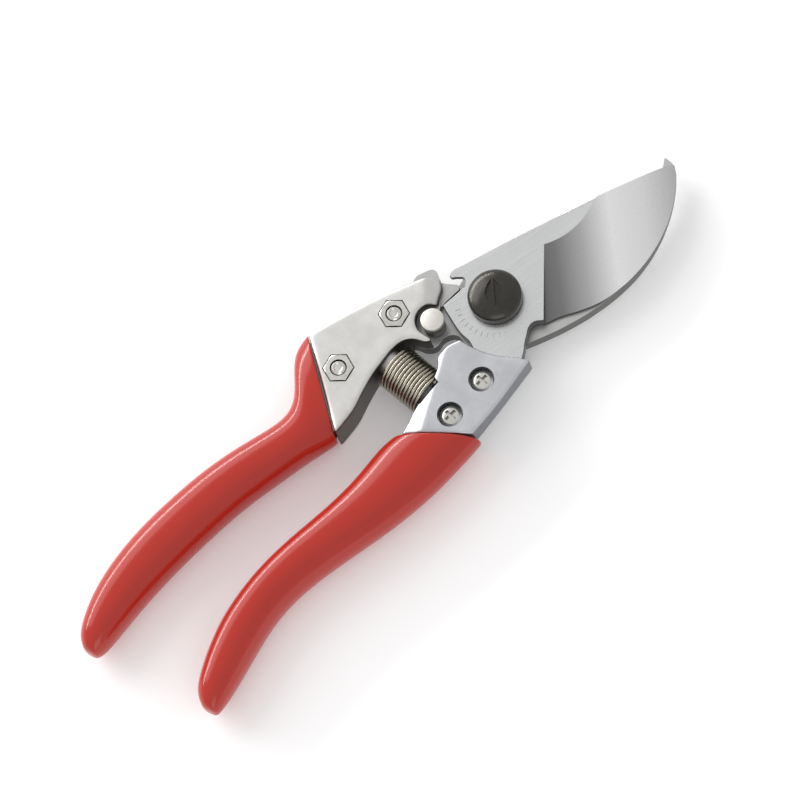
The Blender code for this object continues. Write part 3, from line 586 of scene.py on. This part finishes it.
CAP_BACK, CAP_FRONT = (corner.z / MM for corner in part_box("pivot_cap"))
CAP_RADIUS = 7.3
CAP_RIM = 2.3
LEAF_TURN = -40.0
LEAF_DEPTH = 0.95
PIVOT_NUT_FLATS = 13.0
NUT_TURN = 43.5
NUT_FLATS = 7.0
NUT_POCKET_FLATS = NUT_FLATS + 2 * CLEARANCE


def metal(name, dark, light, rough, metallic=1.0, grain=900.0, bump=0.15, depth=0.00002, wall=None):
    """A cast, plated or blasted metal: fine grain over a slow mottle, and painted shade on its
    walls where a wall colour is given.
    """
    finish, tree, shader = simple_nodes(name)
    where = turned_coordinates(tree)
    fine = noise(tree, where, grain, 5.0, 0.65)
    slow = noise(tree, where, grain / 14.0, 2.0)
    tone = calculated(tree, "ADD", calculated(tree, "MULTIPLY", fine, 0.5), slow)
    colour = blended(tree, ranged(tree, tone, 0.55, 0.95, 0.0, 1.0), dark, light)
    # Painted shade: steep faces take the darker wall colour, by their slope.
    if wall:
        colour = blended(tree, upwards(tree, 0.25, 0.85), wall, colour)
    tree.links.new(colour, shader.inputs["Base Color"])
    roughness = ranged(tree, fine, 0.3, 0.7, rough - 0.06, rough + 0.06)
    tree.links.new(roughness, shader.inputs["Roughness"])
    tree.links.new(bumped(tree, fine, bump, depth), shader.inputs["Normal"])
    shader.inputs["Metallic"].default_value = metallic
    return finish


def dome(radius, base, height, count=14):
    points = []
    for i in range(count + 1):
        angle = math.pi / 2 * i / count
        points.append((radius * math.sin(angle), base + height * math.cos(angle)))
    return points


# Zinc plate, with painted shade on its steep faces: the nuts' flats and the recess walls among
# them.
ZINC = metal(
    "zinc plate", (0.66, 0.645, 0.60), (0.80, 0.79, 0.74), 0.24, 1.0, 500.0, wall=(0.16, 0.15, 0.12)
)
CAP_BLACK = metal("gunmetal", (0.050, 0.047, 0.043), (0.075, 0.070, 0.064), 0.26, 0.9, 500.0, 0.05)

cap_base = CAP_BACK + CAP_RIM
cap = spun("pivot_cap_dome", dome(CAP_RADIUS, cap_base, CAP_FRONT - cap_base) + [
    (CAP_RADIUS, CAP_BACK + 0.3), (CAP_RADIUS - 0.3, CAP_BACK), (6.1, CAP_BACK),
    (6.1, CAP_BACK + 2.9), (0.0, CAP_BACK + 2.9),
], steps=96)


def half_leaf(side):
    """Half of a plain leaf beside its midrib, pressed into the crown of the cap."""
    points = [(0.25, -3.9), (1.7, -2.3), (2.3, 0.0), (1.6, 2.2), (0.25, 4.0)]
    turn = Matrix.Rotation(math.radians(LEAF_TURN), 2)
    outline = [(*(turn @ Vector((side * x, y))), CORNER) for x, y in points]
    return plate("half leaf", outline, CAP_FRONT - LEAF_DEPTH, CAP_FRONT + 1.0)


carved(cap, half_leaf(1.0), half_leaf(-1.0))
fitted(shaded(cap), "hook_half", "pivot_cap", CAP_BLACK)

bolt_back, bolt_front = (corner.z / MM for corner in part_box("pivot_bolt"))
bolt_head = CAP_BACK
bolt = spun("pivot_bolt_shank", [
    (0.0, bolt_front), (5.3, bolt_front), (5.8, bolt_front - 0.5), (5.8, bolt_head),
    (4.0, bolt_head), (4.0, bolt_back + 0.4), (3.6, bolt_back), (0.0, bolt_back),
])
fitted(shaded(bolt), "hook_half", "pivot_bolt", ZINC)

washer_back, washer_front = (corner.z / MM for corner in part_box("pivot_washer"))
washer = spun("pivot_washer_ring", [
    (7.45, washer_front), (7.6, washer_front - 0.15), (7.6, washer_back + 0.15),
    (7.45, washer_back), (PIVOT_HOLE, washer_back), (PIVOT_HOLE, washer_front),
])
fitted(shaded(washer), "hook_half", "pivot_washer", ZINC)


def hex_nut(name, flats, hole, back, front, place, turn, chamfer=0.4):
    """A nut with turned corners on its faces: a hexagonal bar met by a chamfered disc."""
    nut = rod(name, flats / math.sqrt(3), 6, back, front, place, turn)
    wide = flats / math.sqrt(3) + 0.1
    narrow = flats / 2 - 0.05
    disc = spun("chamfer", [
        (0.0, front), (narrow, front), (wide, front - chamfer), (wide, back + chamfer),
        (narrow, back), (0.0, back),
    ], place, 48)
    carved(nut, disc, way="INTERSECT")
    return drilled(nut, hole, [place])


nut_back, nut_front = (corner.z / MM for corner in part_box("pivot_nut"))
pivot_nut = hex_nut(
    "pivot_nut_hex", PIVOT_NUT_FLATS, PIVOT_HOLE, nut_back, nut_front, (0.0, 0.0), NUT_TURN, 0.3
)
fitted(shaded(pivot_nut), "hook_half", "pivot_nut", ZINC)


# ---------------------------------------------------------------- hook handle
# Cast aluminium, bead blasted, with rolled edges. The hook lies in its open back, two nuts sit
# in hexagonal pockets in its front, and a round bay clears the catch pin.

HANDLE_BACK, HANDLE_FRONT = 1.2, 13.2
HANDLE_MIDDLE = (HANDLE_BACK + HANDLE_FRONT) / 2
HOOK_MOUTH = ((-40.6, 31.2), (-56.8, 4.0))
BLADE_MOUTH = ((-46.4, -6.3), (-30.6, -24.6))
HOOK_GRIP_LENGTH = 86.2
BLADE_GRIP_LENGTH = 86.0
GRIP_WALL = 2.3
TANG_THICKNESS = 5.6
CORE_EDGE = 1.2
CORE_ROOT_INSET = 4.0
MOUTH_GAP = 0.39
HOLLOW_RADIUS = BOSS_RADIUS + 1.1
END_SLOPE = ((-8.8, 17.5), (-13.5, 12.8))
SLOPE_REACH = 12.0
NUT_POCKET_FLOOR = 10.6
LEVER_BAY_FRONT = 10.2
SPRING_TOP = (-31.2, 8.4)
SPRING_BOTTOM = (-30.4, -5.9)


def stations(mouth, length, rows):
    """Pairs of points across a grip, from its mouth and then by share of its length."""
    start = min(mouth[0][0], mouth[1][0])
    pairs = [mouth]
    for first, first_y, second, second_y in rows:
        pairs.append(((start - first * length, first_y), (start - second * length, second_y)))
    return pairs


HOOK_STATIONS = stations(HOOK_MOUTH, HOOK_GRIP_LENGTH, [
    (-0.119, 30.4, 0.021, 4.3), (-0.067, 26.2, 0.043, 4.8), (-0.015, 20.9, 0.070, 5.5),
    (0.043, 18.8, 0.101, 6.3), (0.114, 19.8, 0.151, 7.1), (0.217, 22.5, 0.234, 8.3),
    (0.339, 24.7, 0.339, 9.9), (0.472, 25.7, 0.466, 10.6), (0.617, 26.1, 0.611, 10.9),
    (0.756, 24.8, 0.745, 10.6), (0.867, 22.2, 0.843, 9.8), (0.942, 19.0, 0.919, 9.1),
    (0.980, 16.8, 0.956, 8.8), (0.998, 14.2, 0.984, 9.1),
])
BLADE_STATIONS = stations(BLADE_MOUTH, BLADE_GRIP_LENGTH, [
    (0.052, -5.8, -0.083, -25.1), (0.132, -6.7, 0.027, -25.2), (0.217, -7.2, 0.147, -24.4),
    (0.327, -6.8, 0.287, -22.3), (0.437, -5.8, 0.427, -19.7), (0.562, -5.4, 0.557, -18.3),
    (0.672, -6.4, 0.657, -18.9), (0.774, -8.2, 0.742, -20.6), (0.874, -11.7, 0.827, -22.7),
    (0.947, -15.1, 0.902, -24.4), (0.987, -17.6, 0.952, -25.3), (1.005, -20.8, 0.986, -25.8),
])


def corner(point):
    return (point[0], point[1], CORNER)


def shortened(pair, wall):
    first, second = Vector(pair[0]), Vector(pair[1])
    step = (second - first).normalized() * wall
    return (tuple(first + step), tuple(second - step))


def grip_core(pairs, root_shift):
    """The handle's core inside a grip, run on a little past the mouth into the handle."""
    kept = [shortened(pair, GRIP_WALL) for pair in pairs[:-2]]
    inner = shortened(pairs[0], GRIP_WALL + CORE_ROOT_INSET)
    root = [tuple(Vector(point) + Vector(root_shift)) for point in inner]
    first = [corner(kept[0][0])] + [pair[0] for pair in kept[1:]]
    second = [corner(kept[0][1])] + [pair[1] for pair in kept[1:]]
    outline = [corner(root[0])] + first + list(reversed(second)) + [corner(root[1])]
    half = TANG_THICKNESS / 2
    core = plate("core", outline, HANDLE_MIDDLE - half, HANDLE_MIDDLE + half)
    return eased(core, CORE_EDGE, 3, 60)


def mouth_corner(mouth, share):
    first, second = Vector(mouth[0]), Vector(mouth[1])
    along = (second - first).normalized()
    away = Vector((abs(along.y), -along.x if along.y > 0 else along.x))
    return corner(first.lerp(second, share) + away * MOUTH_GAP)


def grown(outline, by):
    """The outline moved outwards by a clearance."""
    flat = [Vector(point[:2]) for point in outline]
    count = len(flat)
    area = sum(flat[i - 1].cross(flat[i]) for i in range(count))
    outwards = 1.0 if area > 0 else -1.0
    moved = []
    for i, point in enumerate(flat):
        before = (point - flat[i - 1]).normalized()
        after = (flat[(i + 1) % count] - point).normalized()
        normal = Vector((before.y + after.y, -before.x - after.x)).normalized() * outwards
        spread = max(0.5, abs(normal.dot(Vector((before.y, -before.x)))))
        moved.append(tuple(point + normal * (by / spread)) + tuple(outline[i][2:]))
    return moved


def slope(line, height, fall, depth):
    """A slab whose face falls to the left of a line, by degrees, from a height."""
    start, heading = Vector(line[0]), Vector(line[1]) - Vector(line[0])
    along = heading.length + BEYOND
    slab = plate("slope", [
        (-BEYOND, SLOPE_REACH, CORNER), (along, SLOPE_REACH, CORNER), (along, -BEYOND, CORNER),
        (-BEYOND, -BEYOND, CORNER),
    ], min(0.0, depth), max(0.0, depth))
    turn = Matrix.Rotation(math.atan2(heading.y, heading.x), 4, "Z")
    tilt = Matrix.Rotation(math.radians(-fall), 4, "X")
    slab.data.transform(Matrix.Translation(Vector((*start, height)) * MM) @ turn @ tilt)
    return slab


def cast_body(name, outline, slopes, rolls, grain=0.32):
    """A casting: a sloped plate remeshed finely and relaxed, which rolls its edges."""
    body = carved(plate(name, outline, HANDLE_BACK, HANDLE_FRONT), *slopes)
    remesh = body.modifiers.new("cast skin", "REMESH")
    remesh.mode = "VOXEL"
    remesh.voxel_size = grain * MM
    relax = body.modifiers.new("rolled edges", "SMOOTH")
    relax.factor = 0.5
    relax.iterations = rolls
    return baked(body)


def spring_bar(name, seat, towards, start, length, radii, sides):
    """A round bar on the spring's line, that starts at a distance from the seat."""
    seat = Vector((*seat, HANDLE_MIDDLE))
    axis = (Vector((*towards, HANDLE_MIDDLE)) - seat).normalized()
    middle = seat + axis * (start + length / 2)
    shape = bmesh.new()
    bmesh.ops.create_cone(
        shape,
        cap_ends=True,
        segments=sides,
        radius1=radii[0] * MM,
        radius2=radii[1] * MM,
        depth=length * MM,
        matrix=Matrix.Translation(middle * MM) @ axis.to_track_quat("Z", "Y").to_matrix().to_4x4(),
    )
    return from_bmesh(name, shape)


def peg(seat, towards):
    """The cast stub that holds one end of the spring."""
    return spring_bar("peg", seat, towards, -3.0, 7.5, (4.2, 3.8), 40)


def hex_pocket(back, front, place):
    return rod("nut pocket", NUT_POCKET_FLATS / math.sqrt(3), 6, back, front, place, NUT_TURN)


def hook_handle_outline():
    top = [(-32.0, 26.8), (-20.7, 22.9), (-12.5, 19.4), (-8.8, 17.6), (-6.4, 15.4)]
    end = arc(HOLLOW_RADIUS, 117, 134, 2)
    bay = arc(4.6, 28, 205, 6, CATCH_PIN)
    belly = [
        (-20.0, 3.5, CORNER), (-21.8, 4.8), (-23.0, 7.2), (-24.9, 9.1), (-28.8, 9.8),
        (-32.5, 9.4), (-37.5, 8.7), (-43.1, 7.1), (-48.0, 5.5),
    ]
    body = top + end + [corner(bay[0])] + bay[1:-1] + [corner(bay[-1])] + belly
    return [mouth_corner(HOOK_MOUTH, 0.055)] + body + [mouth_corner(HOOK_MOUTH, 0.975)]


def make_hook_handle():
    end_slope = slope(END_SLOPE, HANDLE_FRONT, 30.0, 5.0)
    handle = cast_body("hook_handle_casting", hook_handle_outline(), [end_slope], 38)
    carved(handle, grip_core(HOOK_STATIONS, (5.0, -2.5)), way="UNION")
    carved(handle, peg(SPRING_TOP, SPRING_BOTTOM), way="UNION")
    seat = plate("hook seat", grown(hook_outline(), CLEARANCE), -THROUGH, BLADE_BACK)
    lever_bay = [
        (-19.4, 2.0, CORNER), (-19.6, 12.0, CORNER), (-17.6, 24.0, CORNER), (0.0, 24.0, CORNER),
        (0.0, 2.0, CORNER),
    ]
    bay = plate("lever bay", lever_bay, -THROUGH, LEVER_BAY_FRONT)
    carved(handle, seat, bay)
    drilled(handle, BOLT_HOLE, HOOK_BOLTS)
    carved(handle, *[hex_pocket(NUT_POCKET_FLOOR, THROUGH, place) for place in HOOK_BOLTS])
    return shaded(handle, 40)


# Blasted aluminium for the hook handle, with painted shade on its walls and rolled edges.
CAST = metal(
    "blasted aluminium", (0.62, 0.61, 0.59), (0.72, 0.71, 0.69), 0.42, 0.95, 2400.0, 0.4, 0.00003,
    wall=(0.13, 0.12, 0.11),
)
fitted(make_hook_handle(), "hook_half", "hook_handle", CAST)


# ---------------------------------------------------------------- hook bolts and nuts
# Two zinc-plated M4 bolts come up from the hook's back, and their nuts lie sunk in the handle's
# front with the bolt ends just proud of them.

for number, place in enumerate(HOOK_BOLTS, 1):
    back, front = (corner.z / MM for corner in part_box(f"hook_nut_{number}"))
    nut = hex_nut(f"hook_nut_{number}_hex", NUT_FLATS, BOLT_HOLE, back, front, place, NUT_TURN)
    fitted(shaded(nut), "hook_half", f"hook_nut_{number}", ZINC)
    head, end = (corner.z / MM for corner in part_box(f"hook_bolt_{number}"))
    shank = spun(f"hook_bolt_{number}_shank", [
        (0.0, end - 0.25), (1.0, end - 0.25), (1.25, end), (1.6, end), (2.0, end - 0.35),
        (2.0, head + 1.4), (3.6, head + 1.4), (3.6, head + 0.5), (3.1, head), (0.0, head),
    ], place, 48)
    fitted(shaded(shank), "hook_half", f"hook_bolt_{number}", ZINC)


# ---------------------------------------------------------------- blade handle
# Cast and painted grey, smoother than the other. The blade's tang lies in a slot in it, two
# screws sit in round pockets in its front, and its inner edge and outer back edge are sloped.

INNER_SLOPE = ((-41.9, -13.1), (-22.5, -2.5))
BACK_SLOPE = ((-36.0, -23.8), (-2.0, -19.3))
SCREW_NUT_CEILING = 4.7
SCREW_POCKET_RADIUS = 3.5
SCREW_POCKET_BACK = 9.0
SPRING_SEAT_RADIUS = 6.76


def blade_handle_outline():
    inner = [
        (-43.0, -8.0), (-37.9, -6.5), (-32.0, -5.0), (-25.8, -3.4), (-23.9, -2.2), (-22.7, -0.7),
        (-20.5, -0.4), (-17.8, -0.7),
    ]
    hollow = [
        corner(polar(HOLLOW_RADIUS, 187)), polar(HOLLOW_RADIUS + 0.2, 200),
        polar(HOLLOW_RADIUS + 1.2, 220), polar(HOLLOW_RADIUS + 2.3, 233),
        polar(HOLLOW_RADIUS + 3.8, 245),
    ]
    outer = [(-6.6, -19.9, CORNER), (-10.5, -20.5), (-16.5, -21.5), (-23.0, -22.4)]
    ends = (mouth_corner(BLADE_MOUTH, 0.11), mouth_corner(BLADE_MOUTH, 0.93))
    return [ends[0]] + inner + hollow + outer + [ends[1]]


def spring_seat():
    """The round recess that clears the lower end of the spring."""
    radii = (SPRING_SEAT_RADIUS, SPRING_SEAT_RADIUS)
    return spring_bar("spring seat", SPRING_BOTTOM, SPRING_TOP, -CLEARANCE, 12.0, radii, 48)


def make_blade_handle():
    handle = cast_body("blade_handle_casting", blade_handle_outline(), [
        slope(BACK_SLOPE, 6.7, 65.0, -12.0),
        slope(INNER_SLOPE, HANDLE_FRONT, 20.0, 5.0),
    ], 20)
    carved(handle, grip_core(BLADE_STATIONS, (5.5, 0.5)), way="UNION")
    carved(handle, spring_seat())
    carved(handle, peg(SPRING_BOTTOM, SPRING_TOP), way="UNION")
    slot = grown(blade_outline(), CLEARANCE)
    carved(handle, plate("blade slot", slot, HOOK_FRONT, BLADE_FRONT + CLEARANCE))
    drilled(handle, BOLT_HOLE, BLADE_SCREWS)
    carved(handle, *[
        rod("head pocket", SCREW_POCKET_RADIUS, 48, SCREW_POCKET_BACK, THROUGH, place)
        for place in BLADE_SCREWS
    ])
    carved(handle, *[hex_pocket(-THROUGH, SCREW_NUT_CEILING, place) for place in BLADE_SCREWS])
    return shaded(handle, 40)


# Grey casting for the blade handle, with painted shade on its walls.
GREY_CAST = metal(
    "grey casting", (0.51, 0.52, 0.54), (0.60, 0.61, 0.63), 0.36, 0.85, 2000.0, 0.2,
    wall=(0.22, 0.23, 0.25),
)
fitted(make_blade_handle(), "blade_half", "blade_handle", GREY_CAST)


# ---------------------------------------------------------------- blade screws and nuts
# Two zinc-plated M4 pan-head screws with cross recesses hold the blade's tang, with plain nuts
# in pockets at the handle's back.


def recess_bar(place, top, turn):
    """One bar of the cross recess in a screw's head."""
    bar = bmesh.new()
    bmesh.ops.create_cube(bar, size=1.0, matrix=(
        Matrix.Translation(Vector((*place, top + 0.2)) * MM)
        @ Matrix.Rotation(math.radians(turn), 4, "Z")
        @ Matrix.Diagonal((3.5 * MM, 0.9 * MM, 2.6 * MM, 1.0))
    ))
    return from_bmesh("recess bar", bar)


for number, place in enumerate(BLADE_SCREWS, 1):
    end, top = (corner.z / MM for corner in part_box(f"blade_screw_{number}"))
    under = top - 1.7
    screw = spun(f"blade_screw_{number}_pan", dome(2.4, top - 0.35, 0.35, 5) + [
        (2.9, top - 0.6), (3.2, top - 1.0), (3.2, under), (2.0, under), (2.0, end + 0.3),
        (1.7, end), (0.0, end),
    ], place, 48)
    carved(screw, recess_bar(place, top, 0.0), recess_bar(place, top, 90.0))
    fitted(shaded(screw), "blade_half", f"blade_screw_{number}", ZINC)
    back, front = (corner.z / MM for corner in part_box(f"blade_nut_{number}"))
    nut = hex_nut(f"blade_nut_{number}_hex", NUT_FLATS, BOLT_HOLE, back, front, place, NUT_TURN)
    fitted(shaded(nut), "blade_half", f"blade_nut_{number}", ZINC)


# ---------------------------------------------------------------- main spring
# A close-wound compression spring of 0.9 mm wire between the two handles, on their cast pegs.

SPRING_RADIUS = 6.0
SPRING_WIRE = 0.46
SPRING_TURNS = 12.7


def coil(name, start, end, radius, wire, turns, steps=40):
    """A helix of round wire between two points."""
    start, end = Vector(start), Vector(end)
    axis = (end - start).normalized()
    other = Vector((0.0, 0.0, 1.0) if abs(axis.z) < 0.9 else (1.0, 0.0, 0.0))
    side = axis.cross(other).normalized()
    up = axis.cross(side)
    first, last = start + axis * wire, end - axis * wire
    curve = bpy.data.curves.new(name, "CURVE")
    curve.dimensions = "3D"
    curve.bevel_depth = wire * MM
    curve.bevel_resolution = 4
    curve.use_fill_caps = True
    spline = curve.splines.new("POLY")
    count = int(turns * steps)
    spline.points.add(count)
    for i, knot in enumerate(spline.points):
        angle = math.tau * turns * i / count
        out = side * math.cos(angle) + up * math.sin(angle)
        knot.co = (*((first.lerp(last, i / count) + out * radius) * MM), 1.0)
    wound = linked("wound", curve)
    bpy.context.view_layer.update()
    graph = bpy.context.evaluated_depsgraph_get()
    mesh = bpy.data.meshes.new_from_object(wound.evaluated_get(graph))
    bpy.data.objects.remove(wound)
    shape = bmesh.new()
    shape.from_mesh(mesh)
    bpy.data.meshes.remove(mesh)
    bmesh.ops.remove_doubles(shape, verts=shape.verts, dist=1e-7)
    made = from_bmesh(name, shape)
    made.data.shade_smooth()
    made.data.set_sharp_from_angle(angle=math.radians(50))
    return made


SPRING_STEEL = metal("spring steel", (0.36, 0.33, 0.27), (0.50, 0.46, 0.38), 0.25, 1.0, 300.0)
spring_start = (*SPRING_TOP, HANDLE_MIDDLE)
spring_end = (*SPRING_BOTTOM, HANDLE_MIDDLE)
spring = coil(
    "main_spring_coil", spring_start, spring_end, SPRING_RADIUS, SPRING_WIRE, SPRING_TURNS
)
spring.data.materials.append(SPRING_STEEL)
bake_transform(spring)
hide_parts("main_spring")


# ---------------------------------------------------------------- catch
# A flat steel thumb lever under the handle's front wall. It turns on a riveted pin, a small
# spring drags on it, and its nose hooks into the blade's notch.

catch_back, catch_front = (corner.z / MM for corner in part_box("catch_lever"))
tab = [(-12.2, 19.2), (-10.4, 20.4), (-7.6, 19.8), (-5.2, 18.2), (-5.7, 16.0), (-6.6, 14.6)]
arm = [(-17.6, 10.0), (-14.6, 15.0)] + tab + arc(HOLLOW_RADIUS - 0.15, 119, 138, 3)
arm += [(-13.6, 8.4), (-16.0, 6.6)]
nose = [
    (-7.2, 15.2), (-5.5, 13.1), (-4.6, 11.9), (-3.8, 10.7), (-4.1, 9.95), (-6.2, 9.8),
    (-9.5, 9.9), (-11.6, 10.1), (-10.4, 13.0),
]
lever = plate("catch_lever_plate", arm, catch_back, catch_front)
carved(lever, rod("eye", 3.0, 48, catch_back, catch_front, CATCH_PIN), way="UNION")
eased(lever, 0.2)
carved(lever, plate("nose", nose, catch_back, NOSE_FRONT), way="UNION")
drilled(lever, PIN_HOLE, [CATCH_PIN])
fitted(shaded(lever), "catch", "catch_lever", HOOK_STEEL)

pin_foot, pin_top = (corner.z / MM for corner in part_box("catch_pin"))
pin = spun("catch_pin_rivet", [
    (0.0, pin_top), (2.7, pin_top), (3.1, pin_top - 0.15), (3.2, pin_top - 0.4),
    (3.2, pin_top - 1.2), (1.6, pin_top - 1.2), (1.6, pin_foot + 0.2), (1.4, pin_foot),
    (0.0, pin_foot),
], CATCH_PIN, 64)
PIN_PLATE = metal("plated pin", (0.66, 0.64, 0.58), (0.80, 0.78, 0.73), 0.42, 0.7, 1200.0, 0.25)
fitted(shaded(pin), "hook_half", "catch_pin", PIN_PLATE)

drag_start = (*CATCH_PIN, catch_front + CLEARANCE)
drag_end = (*CATCH_PIN, 11.7)
drag = coil("catch_spring_coil", drag_start, drag_end, radius=2.5, wire=0.18, turns=2.0, steps=48)
fitted(drag, "hook_half", "catch_spring", SPRING_STEEL)


# ---------------------------------------------------------------- grips
# Two sleeves of soft red vinyl, dipped over the handles' cores: rounded, glossy, open at the
# mouth and closed in a round end.

GRIP_BACK, GRIP_FRONT = (corner.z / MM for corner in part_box("hook_grip"))
GRIP_SIDES = 24
GRIP_SQUARENESS = 0.85
GRIP_TAPERED_STATIONS = 4
GRIP_END_HEIGHT = 0.5
GRIP_END_SCALE = 0.6
GRIP_END_LENGTH = 0.8
MOUTH_INSETS = (0.25, 1.6, 0.2)


def grip_ring(shape, first, second, half_height, scale=1.0):
    """A rounded oval that stands on the line between two points across the grip."""
    first, second = Vector(first), Vector(second)
    middle, across = (first + second) / 2, (second - first) / 2 * scale
    ring = bmesh.ops.create_circle(shape, segments=GRIP_SIDES, radius=1.0)["verts"]
    for knot in ring:
        wide = math.copysign(abs(knot.co.x) ** GRIP_SQUARENESS, knot.co.x)
        high = math.copysign(abs(knot.co.y) ** GRIP_SQUARENESS, knot.co.y)
        place = middle + across * wide
        knot.co = Vector((place.x, place.y, HANDLE_MIDDLE + half_height * scale * high)) * MM
    return ring


def make_grip(name, pairs):
    """Rings across the grip, bridged from the mouth to the end, and smoothed."""
    shape = bmesh.new()
    half = (GRIP_FRONT - GRIP_BACK) / 2
    tail = len(pairs) - 1
    rings = []
    for index, pair in enumerate(pairs):
        taper = max(0.0, 1.0 - (tail - index) / GRIP_TAPERED_STATIONS)
        height = half * (1.0 - (1.0 - GRIP_END_HEIGHT) * taper * taper)
        rings.append(grip_ring(shape, *pair, height))
    lead = sum((Vector(point) for point in pairs[-1]), Vector((0.0, 0.0))) / 2
    before = sum((Vector(point) for point in pairs[-2]), Vector((0.0, 0.0))) / 2
    push = (lead - before).normalized()
    last = [Vector(point) + push * GRIP_END_LENGTH for point in pairs[-1]]
    rings.append(grip_ring(shape, *last, half * GRIP_END_HEIGHT, GRIP_END_SCALE))
    loops = []
    for ring in rings:
        inside = set(ring)
        loops.append([edge for edge in shape.edges if set(edge.verts) <= inside])
    for one, two in zip(loops, loops[1:]):
        bmesh.ops.bridge_loops(shape, edges=one + two)
    bmesh.ops.contextual_create(shape, geom=loops[-1])
    mouth = bmesh.ops.contextual_create(shape, geom=loops[0])["faces"]
    bmesh.ops.recalc_face_normals(shape, faces=shape.faces)
    for inset in MOUTH_INSETS:
        bmesh.ops.inset_region(shape, faces=mouth, thickness=inset * MM)
    grip = from_bmesh(name, shape)
    grip.data.shade_smooth()
    rounder = grip.modifiers.new("soft skin", "SUBSURF")
    rounder.levels = 2
    rounder.render_levels = 2
    return baked(grip)


def make_vinyl():
    finish, tree, shader = simple_nodes("red vinyl")
    where = turned_coordinates(tree)
    slow = noise(tree, where, 40.0, 2.0)
    fine = noise(tree, where, 2200.0, 3.0)
    tree.links.new(
        blended(tree, slow, (0.40, 0.018, 0.010), (0.45, 0.024, 0.013)), shader.inputs["Base Color"]
    )
    tree.links.new(ranged(tree, fine, 0.3, 0.7, 0.15, 0.20), shader.inputs["Roughness"])
    tree.links.new(bumped(tree, fine, 0.06, 0.00002), shader.inputs["Normal"])
    shader.inputs["IOR"].default_value = 1.5
    return finish


VINYL = make_vinyl()
for node, body, pairs in (
    ("hook_grip", "hook_half", HOOK_STATIONS),
    ("blade_grip", "blade_half", BLADE_STATIONS),
):
    fitted(make_grip(f"{node}_sleeve", pairs), body, node, VINYL)


# ---------------------------------------------------------------- last update of the scene

bpy.context.view_layer.update()
